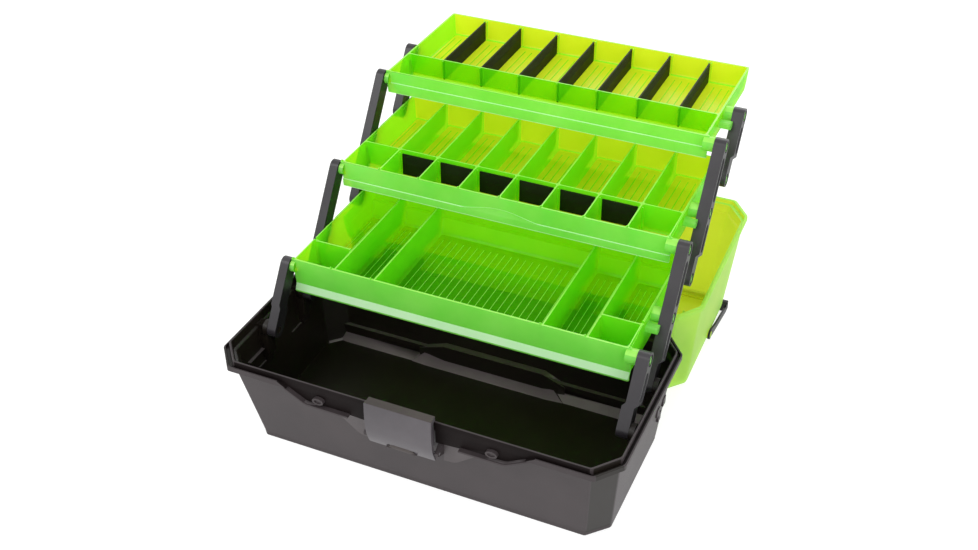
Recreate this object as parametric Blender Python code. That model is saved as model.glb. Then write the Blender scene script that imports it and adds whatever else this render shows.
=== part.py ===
"""Cantilever tackle box: base, fold-back lid, three stepped trays on parallel arms.

Metres, +X to the box's left-to-right length, -Y the latch side, +Z up.
The origin is on the floor, at the middle of the base's rim rectangle.
"""
from math import cos, pi, radians, sin

import bmesh
import bpy
from mathutils import Matrix, Vector

MM = 0.001
GAP = 0.3 * MM               # air kept between pieces that touch

# Base tub
RIM_HALF_LENGTH = 215 * MM
RIM_HALF_DEPTH = 112 * MM
BASE_HEIGHT = 117 * MM       # top of the inner lip
END_DRAFT = 13 * MM          # how far each wall leans in, rim to foot
FRONT_DRAFT = 26 * MM
BACK_DRAFT = 13 * MM
FOOT_HALF_LENGTH = RIM_HALF_LENGTH - END_DRAFT
FOOT_FRONT_Y = -RIM_HALF_DEPTH + FRONT_DRAFT
FOOT_BACK_Y = RIM_HALF_DEPTH - BACK_DRAFT
FLANGE_OUT = 4 * MM
LIP_RISE = 5 * MM
FLANGE_THICK = 6 * MM
FLANGE_TOP = BASE_HEIGHT - LIP_RISE
FLANGE_BOTTOM = FLANGE_TOP - FLANGE_THICK
BASE_EDGE = 5 * MM           # bottom edge's chamfer
BODY_IN = 2.5 * MM           # how far the ends under the flange are set in from the lip
UNDER_RIM_IN = 3 * MM        # the same for the front and back
POST_BELOW = 30 * MM
WALL = 3 * MM
LIP_WALL = 2.6 * MM
RIM_CHAMFER = 19 * MM

# Lid, drawn shut and then turned back about its hinge
LID_SHORTER = 3 * MM         # so that the open lid clears the floor
LID_HEIGHT = BASE_HEIGHT - LID_SHORTER
LID_END_DRAFT = 8 * MM
LID_FRONT_DRAFT = 34 * MM
LID_BACK_DRAFT = 3 * MM
LID_TOP_HALF_LENGTH = RIM_HALF_LENGTH - LID_END_DRAFT
LID_TOP_FRONT_Y = -RIM_HALF_DEPTH + LID_FRONT_DRAFT
LID_TOP_BACK_Y = RIM_HALF_DEPTH - LID_BACK_DRAFT
LID_WALL = 2.4 * MM
LID_OPEN_DEG = 176.7
HINGE_BEHIND = 15 * MM
HINGE_Y = RIM_HALF_DEPTH + HINGE_BEHIND
HINGE_Z = BASE_HEIGHT - MM
HINGE_X = 120 * MM
HINGE_HALF_SPAN = 24 * MM
HINGE_PIN_R = 1.75 * MM
KNUCKLE_R = 4.2 * MM

# Linkage: every arm has the same pivot spacing, so the trays stay level
ARM_SPACING = 70.4 * MM
ARM_OPEN_DEG = 55.9          # from +Y towards +Z
ARM_SHUT_DEG = 151.1
PIN_SPACING = 73.6 * MM      # front, middle and rear pins along a tray
FRONT_PIVOT_IN = 78.3 * MM   # first pivot, back from the front rim
FRONT_PIVOT_Y = -RIM_HALF_DEPTH + FRONT_PIVOT_IN
PIVOT_BELOW_RIM = 13.5 * MM
PIVOT_Z = BASE_HEIGHT - PIVOT_BELOW_RIM
ARM_CLEAR = 8.7 * MM         # lip to the arms' outer faces
ARM_OUTER_X = RIM_HALF_LENGTH - ARM_CLEAR
ARM_THICK = 12.5 * MM
ARM_STEP_IN = 4.5 * MM       # how far an arm's lower end is set inwards
ARM_HALF_WIDTH = 8.5 * MM
PIN_R = 3.7 * MM
HOLE_R = PIN_R + GAP
BOSS_R = 7.5 * MM
HEAD_POCKET_R = 6.5 * MM
HEAD_POCKET_DEEP = 1.3 * MM

# Trays
TRAY_TO_ARM = 18.3 * MM
TRAY_HALF_LENGTH = ARM_OUTER_X - TRAY_TO_ARM
TRAY_DEPTH = 175.5 * MM
TRAY_WALL = 1.8 * MM
TRAY_FLOOR = 1.8 * MM
TRAY_DRAFT = 3 * MM
PIN_BELOW_TOP = 9.3 * MM
PIN_FROM_FRONT = 1.5 * MM
LOWER_TRAY_HEIGHT = 43 * MM
MIDDLE_TRAY_HEIGHT = 32 * MM
UPPER_TRAY_HEIGHT = 28 * MM
CELLS = 8
CELL_PITCH = 2 * TRAY_HALF_LENGTH / CELLS
TROUGH_DEPTH = 51.2 * MM
LOWER_SHORT_WALL = 45 * MM
DIVIDER_THICK = 1.8 * MM
SLOT_RIB = 1.4 * MM
STOP_TAB = 4 * MM
STOP_REACH = 3 * MM          # how far a stop tab reaches under its arm

# Latch
LATCH_HALF_WIDTH = 36 * MM
LATCH_PROUD = 11 * MM        # plate's face and pivot, out from the lip
LATCH_PIVOT_PROUD = 4 * MM
LATCH_FACE_Y = -RIM_HALF_DEPTH - LATCH_PROUD
LATCH_THICK = 3 * MM
LATCH_TOP = BASE_HEIGHT + 9 * MM
LATCH_BOTTOM = LATCH_TOP - 56 * MM
LATCH_PIVOT_Z = LATCH_BOTTOM + 12 * MM
LATCH_PIVOT_Y = -RIM_HALF_DEPTH - LATCH_PIVOT_PROUD
LATCH_PIN_R = 1.5 * MM
LUG_HALF = 2.2 * MM
HOOK_BACK_Y = -RIM_HALF_DEPTH - 0.5 * MM

# Carry handle, a bail on the lid's sides
HANDLE_PIVOT_Y = LID_TOP_FRONT_Y + 82 * MM
HANDLE_PIVOT_DROP = 9 * MM   # below the lid's top face
HANDLE_REACH = 74 * MM
HANDLE_LEG_HALF_WIDTH = 5 * MM
HANDLE_THICK = 3 * MM
HANDLE_BAR_OVER = 12.1 * MM  # the folded bar's height over the lid; it props the open lid
GRIP_HALF = 6 * MM

SEGMENTS = 32
BLACK = (0.045, 0.043, 0.046, 1)
GREY = (0.11, 0.105, 0.11, 1)
GREEN = (0.24, 0.75, 0.08, 1)
LIME = (0.5, 0.8, 0.12, 1)
STEEL = (0.6, 0.6, 0.62, 1)


def clear_scene():
    for item in list(bpy.data.objects):
        bpy.data.objects.remove(item, do_unlink=True)


def collection(name):
    made = bpy.data.collections.new(name)
    bpy.context.scene.collection.children.link(made)
    return made


def material(name, colour, roughness=0.45, transmission=0.0):
    made = bpy.data.materials.new(name)
    made.use_nodes = True
    shader = made.node_tree.nodes["Principled BSDF"]
    shader.inputs["Base Color"].default_value = colour
    shader.inputs["Roughness"].default_value = roughness
    shader.inputs["Transmission Weight"].default_value = transmission
    return made


def add_object(name, bm, group, mat=None):
    bmesh.ops.recalc_face_normals(bm, faces=bm.faces[:])
    mesh = bpy.data.meshes.new(name)
    bm.to_mesh(mesh)
    bm.free()
    made = bpy.data.objects.new(name, mesh)
    group.objects.link(made)
    if mat:
        mesh.materials.append(mat)
    return made


def loft(bm, rings):
    """Closed skin through rings of equal length, capped at both ends."""
    loops = [[bm.verts.new(point) for point in ring] for ring in rings]
    for lower, upper in zip(loops, loops[1:]):
        for i in range(len(lower)):
            j = (i + 1) % len(lower)
            bm.faces.new((lower[i], lower[j], upper[j], upper[i]))
    bm.faces.new(list(reversed(loops[0])))
    bm.faces.new(loops[-1])


def octagon(half_x, front_y, back_y, chamfer, z):
    """Rectangle with cut corners, as a ring of eight points."""
    c = chamfer
    return [(-half_x + c, front_y, z), (half_x - c, front_y, z), (half_x, front_y + c, z),
            (half_x, back_y - c, z), (half_x - c, back_y, z), (-half_x + c, back_y, z),
            (-half_x, back_y - c, z), (-half_x, front_y + c, z)]


def add_box(bm, low, high):
    corners = [(low[0], low[1]), (high[0], low[1]), (high[0], high[1]), (low[0], high[1])]
    loft(bm, [[(x, y, z) for x, y in corners] for z in (low[2], high[2])])


def add_rod(bm, x0, x1, y, z, radius, segments=SEGMENTS):
    """Cylinder along X."""
    ring = [(y + radius * cos(2 * pi * i / segments), z + radius * sin(2 * pi * i / segments))
            for i in range(segments)]
    loft(bm, [[(x, py, pz) for py, pz in ring] for x in (x0, x1)])


def boolean(target, cutter, operation):
    modifier = target.modifiers.new(cutter.name, "BOOLEAN")
    modifier.operation = operation
    modifier.solver = "EXACT"
    modifier.use_self = True
    modifier.object = cutter
    cutter.hide_render = True
    cutter.display_type = "WIRE"


def arm_vector(angle_deg):
    angle = radians(angle_deg)
    return Vector((0, ARM_SPACING * cos(angle), ARM_SPACING * sin(angle)))


def tray_front(level):
    """Front top edge (y, z) of tray 1, 2 or 3 with the trays fanned out."""
    reach = arm_vector(ARM_OPEN_DEG)
    step_y = reach.y + PIN_SPACING
    y = FRONT_PIVOT_Y + reach.y - PIN_FROM_FRONT + (level - 1) * step_y
    return y, PIVOT_Z + level * reach.z + PIN_BELOW_TOP


def pin_place(level, number):
    """Pivot (y, z): level 0 is the base, number 0, 1, 2 is front, middle, rear."""
    if level == 0:
        return FRONT_PIVOT_Y + (number - 1) * PIN_SPACING, PIVOT_Z
    y, z = tray_front(level)
    return y + PIN_FROM_FRONT + number * PIN_SPACING, z - PIN_BELOW_TOP


# Base tub -----------------------------------------------------------------------
def base_rings():
    h, d, edge, wall = RIM_HALF_LENGTH, RIM_HALF_DEPTH, BASE_EDGE, WALL
    under_y = d - UNDER_RIM_IN

    def outer(half, front, back, z):
        return octagon(half, front, back, RIM_CHAMFER, z)

    return [
        outer(FOOT_HALF_LENGTH - edge, FOOT_FRONT_Y + edge, FOOT_BACK_Y - edge, 0),
        outer(FOOT_HALF_LENGTH, FOOT_FRONT_Y, FOOT_BACK_Y, edge),
        outer(h - BODY_IN, -under_y, under_y, FLANGE_BOTTOM),
        outer(h + FLANGE_OUT, -d - FLANGE_OUT, d + FLANGE_OUT, FLANGE_BOTTOM + MM),
        outer(h + FLANGE_OUT, -d - FLANGE_OUT, d + FLANGE_OUT, FLANGE_TOP),
        outer(h, -d, d, FLANGE_TOP),
        outer(h, -d, d, BASE_HEIGHT),
        outer(h - LIP_WALL, -d + LIP_WALL, d - LIP_WALL, BASE_HEIGHT),
        outer(h - BODY_IN - wall, -under_y + wall, under_y - wall, FLANGE_BOTTOM),
        outer(FOOT_HALF_LENGTH - wall, FOOT_FRONT_Y + wall, FOOT_BACK_Y - wall, edge),
        outer(FOOT_HALF_LENGTH - wall - MM, FOOT_FRONT_Y + wall + MM,
              FOOT_BACK_Y - wall - MM, WALL),
    ]


def make_base(group, extras, mat):
    bm = bmesh.new()
    loft(bm, base_rings())
    base = add_object("base_shell", bm, group, mat)
    boolean(base, make_base_fittings(extras), "UNION")
    return base


def make_base_fittings(extras):
    """Arm posts with their pivots, latch lugs and rear hinge knuckles."""
    bm = bmesh.new()
    low_end = ARM_OUTER_X - ARM_STEP_IN
    post_x = low_end + GAP
    for side in (-1, 1):
        for number in (1, 2):
            y, z = pin_place(0, number)
            add_post(bm, side, post_x, y, z)
            ends = sorted((side * (low_end - ARM_THICK - 0.4 * MM), side * (post_x + MM)))
            add_rod(bm, ends[0], ends[1], y, z, PIN_R)
    for side in (-1, 1):
        add_latch_lug(bm, side * (LATCH_HALF_WIDTH + GAP + LUG_HALF))
        for offset in (-1, 1):
            middle = side * HINGE_X + offset * HINGE_HALF_SPAN * 0.67
            add_knuckle(bm, middle, HINGE_HALF_SPAN * 0.3, -1)
    group_object = add_object("cut_base_fittings", bm, extras)
    bores = bmesh.new()
    for side in (-1, 1):
        x = side * HINGE_X
        add_rod(bores, x - HINGE_HALF_SPAN - 2 * MM, x + HINGE_HALF_SPAN + 2 * MM,
                HINGE_Y, HINGE_Z, HINGE_PIN_R + 0.05 * MM, 24)
    bore_half = LATCH_HALF_WIDTH + 3 * LUG_HALF
    add_rod(bores, -bore_half, bore_half, LATCH_PIVOT_Y, LATCH_PIVOT_Z,
            LATCH_PIN_R + 0.05 * MM, 24)
    boolean(group_object, add_object("cut_base_bores", bores, extras), "DIFFERENCE")
    return group_object


def base_half_length(z):
    """Outside half length of the drafted end wall at a height."""
    share = (z - BASE_EDGE) / (FLANGE_BOTTOM - BASE_EDGE)
    return FOOT_HALF_LENGTH + share * (RIM_HALF_LENGTH - BODY_IN - FOOT_HALF_LENGTH)


def base_front_y(z):
    """Outside face of the drafted front wall at a height."""
    share = (z - BASE_EDGE) / (FLANGE_BOTTOM - BASE_EDGE)
    return FOOT_FRONT_Y + share * (-RIM_HALF_DEPTH + UNDER_RIM_IN - FOOT_FRONT_Y)


def add_post(bm, side, inner_x, y, z):
    """Thickening of an end wall behind an arm's pivot; it follows the wall's draft."""
    rows = []
    for level in (z - POST_BELOW, min(z + BOSS_R, FLANGE_BOTTOM)):
        outer_x = base_half_length(level) - WALL / 2
        rows.append([(side * inner_x, y - BOSS_R, level), (side * outer_x, y - BOSS_R, level),
                     (side * outer_x, y + BOSS_R, level), (side * inner_x, y + BOSS_R, level)])
    loft(bm, rows)
    top = min(z + BOSS_R, FLANGE_BOTTOM)
    if z + BOSS_R > top:
        xs = sorted((side * inner_x, side * (RIM_HALF_LENGTH - BODY_IN - WALL / 2)))
        add_box(bm, (xs[0], y - BOSS_R, top - MM), (xs[1], y + BOSS_R, z + BOSS_R))


def add_latch_lug(bm, x):
    """One ear in front of the base's wall that carries the latch pin."""
    half, tall = LUG_HALF, 12 * MM
    high, low = LATCH_PIVOT_Z + tall, LATCH_PIVOT_Z - tall
    points = [(base_front_y(high) + WALL * 0.7, high), (base_front_y(low) + WALL * 0.7, low),
              (LATCH_PIVOT_Y, LATCH_PIVOT_Z - 3.4 * MM), (LATCH_PIVOT_Y - 3.4 * MM, LATCH_PIVOT_Z),
              (LATCH_PIVOT_Y, LATCH_PIVOT_Z + 3.4 * MM)]
    loft(bm, [[(px, y, z) for y, z in points] for px in (x - half, x + half)])


def add_knuckle(bm, x, half, toward):
    """Hinge knuckle and its strap; toward is -1 for the base, +1 for the shut lid."""
    root_y = RIM_HALF_DEPTH + 1.5 * MM
    if toward < 0:
        root = [(root_y, FLANGE_TOP - 0.5 * MM), (root_y, FLANGE_BOTTOM + 1.5 * MM)]
    else:
        root = [(root_y, HINGE_Z + 2 * MM), (root_y, HINGE_Z + 8 * MM)]
    ring = knuckle_outline(KNUCKLE_R, root)
    loft(bm, [[(px, y, z) for y, z in ring] for px in (x - half, x + half)])


def knuckle_outline(r, root):
    """Convex outline of the knuckle's circle and the strap's two root points."""
    circle = [(HINGE_Y + r * cos(2 * pi * i / 24), HINGE_Z + r * sin(2 * pi * i / 24))
              for i in range(24)]
    points = sorted(set(circle + root))
    def half_hull(items):
        hull = []
        for point in items:
            while len(hull) > 1 and cross(hull[-2], hull[-1], point) <= 0:
                hull.pop()
            hull.append(point)
        return hull[:-1]
    return half_hull(points) + half_hull(points[::-1])


def cross(a, b, c):
    return (b[0] - a[0]) * (c[1] - a[1]) - (b[1] - a[1]) * (c[0] - a[0])


# Lid ----------------------------------------------------------------------------
def lid_rings():
    h, d, c = RIM_HALF_LENGTH, RIM_HALF_DEPTH, RIM_CHAMFER
    top = BASE_HEIGHT + LID_HEIGHT
    edge = 4 * MM
    inner = 0.6 * MM
    w = LID_WALL
    rim_low, rim_high = FLANGE_TOP + GAP, FLANGE_TOP + 7 * MM
    return [
        octagon(LID_TOP_HALF_LENGTH - w - edge, LID_TOP_FRONT_Y + w + edge,
                LID_TOP_BACK_Y - w - edge, c, top - w),
        octagon(LID_TOP_HALF_LENGTH - w, LID_TOP_FRONT_Y + w, LID_TOP_BACK_Y - w, c, top - w - edge),
        octagon(h - w, -d + w + 0.5 * MM, d - w, c, rim_high),
        octagon(h - w, -d + w + 0.5 * MM, d - w, c, BASE_HEIGHT + GAP * 2),
        octagon(h + inner, -d - inner, d + inner, c, BASE_HEIGHT + GAP * 2),
        octagon(h + inner, -d - inner, d + inner, c, rim_low),
        octagon(h + FLANGE_OUT, -d - FLANGE_OUT, d + FLANGE_OUT, c, rim_low),
        octagon(h + FLANGE_OUT, -d - FLANGE_OUT, d + FLANGE_OUT, c, rim_high - MM),
        octagon(h, -d + 0.5 * MM, d, c, rim_high),
        octagon(LID_TOP_HALF_LENGTH, LID_TOP_FRONT_Y, LID_TOP_BACK_Y, c, top - edge),
        octagon(LID_TOP_HALF_LENGTH - edge, LID_TOP_FRONT_Y + edge, LID_TOP_BACK_Y - edge, c, top),
    ]


def lid_turn():
    pivot = Vector((0, HINGE_Y, HINGE_Z))
    turn = Matrix.Rotation(-radians(LID_OPEN_DEG), 4, "X")
    return Matrix.Translation(pivot) @ turn @ Matrix.Translation(-pivot)


def make_lid(group, extras, mat):
    bm = bmesh.new()
    loft(bm, lid_rings())
    bm.transform(lid_turn())
    lid = add_object("lid_shell", bm, group, mat)
    fittings = bmesh.new()
    for side in (-1, 1):
        add_knuckle(fittings, side * HINGE_X, HINGE_HALF_SPAN * 0.34, 1)
        x0 = LID_TOP_HALF_LENGTH - 1.5 * MM
        x1 = handle_leg_inner() + HANDLE_THICK + 0.4 * MM
        ends = sorted((side * x0, side * x1))
        add_rod(fittings, ends[0], ends[1], HANDLE_PIVOT_Y, handle_pivot_z(), PIN_R)
        pad = sorted((side * x0, side * (handle_leg_inner() - GAP)))
        add_rod(fittings, pad[0], pad[1], HANDLE_PIVOT_Y, handle_pivot_z(), BOSS_R)
    fittings.transform(lid_turn())
    knuckles = add_object("cut_lid_fittings", fittings, extras)
    bores = bmesh.new()
    for side in (-1, 1):
        x = side * HINGE_X
        add_rod(bores, x - HINGE_HALF_SPAN, x + HINGE_HALF_SPAN, HINGE_Y, HINGE_Z,
                HINGE_PIN_R + 0.05 * MM, 24)
    boolean(knuckles, add_object("cut_lid_bores", bores, extras), "DIFFERENCE")
    boolean(lid, knuckles, "UNION")
    return lid


def make_hinge_pin(side, group, mat):
    bm = bmesh.new()
    x = side * HINGE_X
    half = HINGE_HALF_SPAN - MM
    add_rod(bm, x - half, x + half, HINGE_Y, HINGE_Z, HINGE_PIN_R, 24)
    return add_object("hinge_pin_" + side_name(side), bm, group, mat)


def side_name(side):
    return "left" if side < 0 else "right"


# Carry handle -------------------------------------------------------------------
def handle_pivot_z():
    return BASE_HEIGHT + LID_HEIGHT - HANDLE_PIVOT_DROP


def handle_leg_inner():
    return LID_TOP_HALF_LENGTH + 2.4 * MM


def make_handle(group, extras, mat):
    """Bail drawn folded forward on the shut lid: two legs, a cross bar and a grip."""
    y0, z0 = HANDLE_PIVOT_Y, handle_pivot_z()
    y1 = y0 - HANDLE_REACH
    inner = handle_leg_inner()
    outer = inner + HANDLE_THICK
    leg_top = BASE_HEIGHT + LID_HEIGHT + HANDLE_BAR_OVER
    bm = bmesh.new()
    half = HANDLE_LEG_HALF_WIDTH
    for side in (-1, 1):
        ring = [(y0 + half * 1.4 * cos(a), z0 + half * 1.4 * sin(a))
                for a in (pi * (-0.5 + i / 12) for i in range(13))]
        ring += [(y1 - GRIP_HALF, leg_top), (y1 - GRIP_HALF, leg_top - 2 * half)]
        xs = sorted((side * inner, side * outer))
        loft(bm, [[(x, y, z) for y, z in ring] for x in xs])
    legs = add_object("carry_handle", bm, group, mat)
    bar = bmesh.new()
    low = BASE_HEIGHT + LID_HEIGHT + 0.8 * MM
    add_box(bar, (-outer, y1 - GRIP_HALF, low), (outer, y1 + GRIP_HALF * 0.4, leg_top))
    boolean(legs, add_object("cut_handle_bar", bar, extras), "UNION")
    holes = bmesh.new()
    add_rod(holes, -outer - MM, -inner + MM, y0, z0, HOLE_R)
    add_rod(holes, inner - MM, outer + MM, y0, z0, HOLE_R)
    boolean(legs, add_object("cut_handle_holes", holes, extras), "DIFFERENCE")
    for item in (legs, bpy.data.objects["cut_handle_bar"], bpy.data.objects["cut_handle_holes"]):
        item.data.transform(lid_turn())
    return legs


# Trays --------------------------------------------------------------------------
def tray_height(level):
    return (LOWER_TRAY_HEIGHT, MIDDLE_TRAY_HEIGHT, UPPER_TRAY_HEIGHT)[level - 1]


def tray_outer(bm, level):
    y, z = tray_front(level)
    h = tray_height(level)
    low = [(TRAY_HALF_LENGTH - TRAY_DRAFT, y + TRAY_DRAFT, y + TRAY_DEPTH - TRAY_DRAFT, z - h),
           (TRAY_HALF_LENGTH, y, y + TRAY_DEPTH, z)]
    loft(bm, [octagon(half, front, back, 2 * MM, level_z) for half, front, back, level_z in low])


def add_cell(bm, x0, x1, y0, y1, top, deep):
    """A tapered pocket cut down from the tray's top edge."""
    over = MM
    draft = 0.6 * MM
    def ring(shrink, z):
        return [(x0 + shrink, y0 + shrink, z), (x1 - shrink, y0 + shrink, z),
                (x1 - shrink, y1 - shrink, z), (x0 + shrink, y1 - shrink, z)]
    loft(bm, [ring(draft, top - deep), ring(0, top + over)])


def cell_spans(level):
    """Pockets of a tray as (x0, x1, y0, y1), with y counted from its front."""
    edge = TRAY_HALF_LENGTH - TRAY_WALL
    half = TRAY_WALL / 2
    front, back = TRAY_WALL + TRAY_DRAFT, TRAY_DEPTH - TRAY_WALL - TRAY_DRAFT
    edge -= TRAY_DRAFT
    pitch_edges = [-edge] + [CELL_PITCH * (i - CELLS / 2) for i in range(1, CELLS)] + [edge]
    def columns(cuts, y0, y1):
        spans = []
        for i in range(len(cuts) - 1):
            x0 = cuts[i] + (half if i else 0)
            x1 = cuts[i + 1] - (half if i < len(cuts) - 2 else 0)
            spans.append((x0, x1, y0, y1))
        return spans
    if level == 3:
        return [(-edge, edge, front, TROUGH_DEPTH - half),
                (-edge, edge, TROUGH_DEPTH + half, back)]
    if level == 2:
        return (columns(pitch_edges, front, TROUGH_DEPTH - half)
                + columns(pitch_edges, TROUGH_DEPTH + half, back))
    cuts = [-edge, -3 * CELL_PITCH, -2 * CELL_PITCH, 2 * CELL_PITCH, 3 * CELL_PITCH, edge]
    full = columns(cuts, front, back)
    short = LOWER_SHORT_WALL
    ends = [(x0, x1, y0, y1) for x0, x1, _, _ in (full[0], full[-1])
            for y0, y1 in ((front, short - half), (short + half, back))]
    return full[1:-1] + ends


def make_tray(level, group, extras, mat):
    name = ("lower_tray", "middle_tray", "upper_tray")[level - 1]
    bm = bmesh.new()
    tray_outer(bm, level)
    tray = add_object(name, bm, group, mat)
    y, z = tray_front(level)
    cells = bmesh.new()
    deep = tray_height(level) - TRAY_FLOOR
    for x0, x1, y0, y1 in cell_spans(level):
        add_cell(cells, x0, x1, y + y0, y + y1, z, deep)
    boolean(tray, add_object("cut_" + name + "_cells", cells, extras), "DIFFERENCE")
    pins = bmesh.new()
    for side in (-1, 1):
        for number in (0, 1, 2):
            if level == 3 and number == 2:
                continue
            add_tray_pin(pins, level, number, side)
        add_stop_tab(pins, level, side)
    boolean(tray, add_object("cut_" + name + "_pins", pins, extras), "UNION")
    if level == 3:
        boolean(tray, add_object("cut_slot_ribs", slot_ribs(), extras), "UNION")
    return tray


def add_tray_pin(bm, level, number, side):
    """Boss, journal and oblong head; the rear pin carries an arm's set-in lower end."""
    y, z = pin_place(level, number)
    outer = ARM_OUTER_X - (ARM_STEP_IN if number == 2 else 0)
    face = outer - ARM_THICK - GAP
    tip = outer - 0.15 * MM
    root = TRAY_HALF_LENGTH - TRAY_WALL - TRAY_DRAFT + 1.2 * MM
    steps = ((root, BOSS_R), (face, BOSS_R), (face, PIN_R), (tip, PIN_R))
    rows = []
    for x, radius in steps:
        rows.append([(side * x, y + radius * cos(2 * pi * i / SEGMENTS),
                      z + radius * sin(2 * pi * i / SEGMENTS)) for i in range(SEGMENTS)])
    loft(bm, rows)


def add_stop_tab(bm, level, side):
    """Rounded tab in front of the middle pin that the long arm leans on when open."""
    y, z = stop_place(level)
    root = TRAY_HALF_LENGTH - TRAY_WALL - TRAY_DRAFT + 1.2 * MM
    ends = sorted((side * root, side * (ARM_OUTER_X - ARM_THICK + STOP_REACH)))
    add_rod(bm, ends[0], ends[1], y, z, STOP_TAB, 16)


def stop_place(level):
    """The tab's centre, just clear of the raised arm's front edge."""
    y, z = pin_place(level, 1)
    angle = radians(ARM_OPEN_DEG)
    along, away = -14 * MM, ARM_HALF_WIDTH + STOP_TAB + 0.15 * MM
    return (y + along * cos(angle) - away * sin(angle),
            z + along * sin(angle) + away * cos(angle))


def slot_ribs():
    """Pairs of ribs on the upper tray's middle and back walls that hold the dividers."""
    bm = bmesh.new()
    y, z = tray_front(3)
    low = z - tray_height(3) + TRAY_FLOOR - 0.5 * MM
    high = z - MM
    front_wall = y + TROUGH_DEPTH + TRAY_WALL / 2
    back_wall = y + TRAY_DEPTH - TRAY_WALL - TRAY_DRAFT
    reach = 3 * MM
    for i in range(1, CELLS):
        x = CELL_PITCH * (i - CELLS / 2)
        for side in (-1, 1):
            near = x + side * (DIVIDER_THICK / 2 + GAP)
            far = near + side * SLOT_RIB
            xs = sorted((near, far))
            add_box(bm, (xs[0], front_wall - 0.5 * MM, low), (xs[1], front_wall + reach, high))
            add_box(bm, (xs[0], back_wall - reach, low), (xs[1], back_wall + 0.8 * MM, high))
    return bm


def make_upper_dividers(group, mat):
    y, z = tray_front(3)
    low = z - tray_height(3) + TRAY_FLOOR + GAP
    y0 = y + TROUGH_DEPTH + TRAY_WALL / 2 + 0.6 * MM + GAP
    y1 = y + TRAY_DEPTH - TRAY_WALL - TRAY_DRAFT - 0.6 * MM - GAP
    for i in range(1, CELLS):
        x = CELL_PITCH * (i - CELLS / 2)
        bm = bmesh.new()
        add_box(bm, (x - DIVIDER_THICK / 2, y0, low), (x + DIVIDER_THICK / 2, y1, z - 1.5 * MM))
        add_object("upper_divider_%d" % i, bm, group, mat)


def make_middle_dividers(group, mat):
    """Spare plates that stand in the middle tray's front cells, flat on the middle wall."""
    y, z = tray_front(2)
    low = z - tray_height(2) + TRAY_FLOOR + GAP
    wall = y + TROUGH_DEPTH - TRAY_WALL / 2
    half = CELL_PITCH / 2 - 4 * MM
    for i in range(1, CELLS - 1):
        x = CELL_PITCH * (i + 0.5 - CELLS / 2)
        y1 = wall - 0.6 * MM - GAP
        bm = bmesh.new()
        add_box(bm, (x - half, y1 - DIVIDER_THICK, low), (x + half, y1, z - 4 * MM))
        add_object("middle_divider_%d" % i, bm, group, mat)


# Arms ---------------------------------------------------------------------------
def make_arm(name, side, lower, span, group, extras, mat):
    """Arm from pivot `lower` (level, number), span pivots long, set in at its foot."""
    y, z = pin_place(*lower)
    length = ARM_SPACING * span
    half = ARM_HALF_WIDTH
    knee0, knee1 = 0.28 * ARM_SPACING, 0.42 * ARM_SPACING
    lean = radians(ARM_OPEN_DEG)
    turn = Matrix.Translation((0, y, z)) @ Matrix.Rotation(lean, 4, "X")

    low_out = ARM_OUTER_X - ARM_STEP_IN
    bm = bmesh.new()
    stations = arm_stations(length, half, knee0, knee1, low_out)
    rings = []
    for u, v_half, out in stations:
        x0, x1 = side * (out - ARM_THICK), side * out
        corners = ((x0, u, -v_half), (x1, u, -v_half), (x1, u, v_half), (x0, u, v_half))
        rings.append([turn @ Vector(corner) for corner in corners])
    loft(bm, rings)
    arm = add_object(name + "_" + side_name(side), bm, group, mat)
    holes = bmesh.new()
    for i in range(span + 1):
        out = low_out if i == 0 else ARM_OUTER_X
        cy, cz = y + i * ARM_SPACING * cos(lean), z + i * ARM_SPACING * sin(lean)
        ends = sorted((side * (out - ARM_THICK - MM), side * (out + MM)))
        add_rod(holes, ends[0], ends[1], cy, cz, HOLE_R)
    boolean(arm, add_object("cut_" + name + "_holes_" + side_name(side), holes, extras),
            "DIFFERENCE")
    make_head_pockets(arm, name, side, lower, span, lean, extras)
    return arm


def arm_stations(length, half, knee0, knee1, low_out):
    """(distance, half width, outer x) along an arm, rounded at both ends."""
    steps = 7
    rounds = [(-half * cos(pi / 2 * i / steps), half * sin(pi / 2 * i / steps))
              for i in range(steps + 1)]
    rounds[0] = (-half, half * 0.12)
    low = [(u, v, low_out) for u, v in rounds]
    middle = [(knee0, half, low_out), (knee1, half, ARM_OUTER_X)]
    high = [(length - u, v, ARM_OUTER_X) for u, v in reversed(rounds)]
    return low + middle + high


def make_head_pockets(arm, name, side, lower, span, lean, extras):
    """Shallow round pockets on the outer face for the pins' heads."""
    y, z = pin_place(*lower)
    bm = bmesh.new()
    first = 0 if lower[0] > 0 else 1
    for i in range(first, span + 1):
        out = ARM_OUTER_X - (ARM_STEP_IN if i == 0 else 0)
        cy, cz = y + i * ARM_SPACING * cos(lean), z + i * ARM_SPACING * sin(lean)
        ends = sorted((side * (out - HEAD_POCKET_DEEP), side * (out + MM)))
        add_rod(bm, ends[0], ends[1], cy, cz, HEAD_POCKET_R)
    boolean(arm, add_object("cut_" + name + "_pockets_" + side_name(side), bm, extras),
            "DIFFERENCE")


# Latch --------------------------------------------------------------------------
def latch_profile():
    """Side outline (y, z) of the hooked plate, pivot eye included."""
    f, t = LATCH_FACE_Y, LATCH_THICK
    return [(f - 1.5 * MM, LATCH_BOTTOM), (f + t - 1.5 * MM, LATCH_BOTTOM),
            (f + t, LATCH_PIVOT_Z - 6 * MM), (f + t, LATCH_TOP - t),
            (HOOK_BACK_Y, LATCH_TOP - t), (HOOK_BACK_Y, LATCH_TOP),
            (f + 1.5 * MM, LATCH_TOP), (f, LATCH_TOP - 1.5 * MM), (f - MM, LATCH_PIVOT_Z + 14 * MM)]


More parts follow.
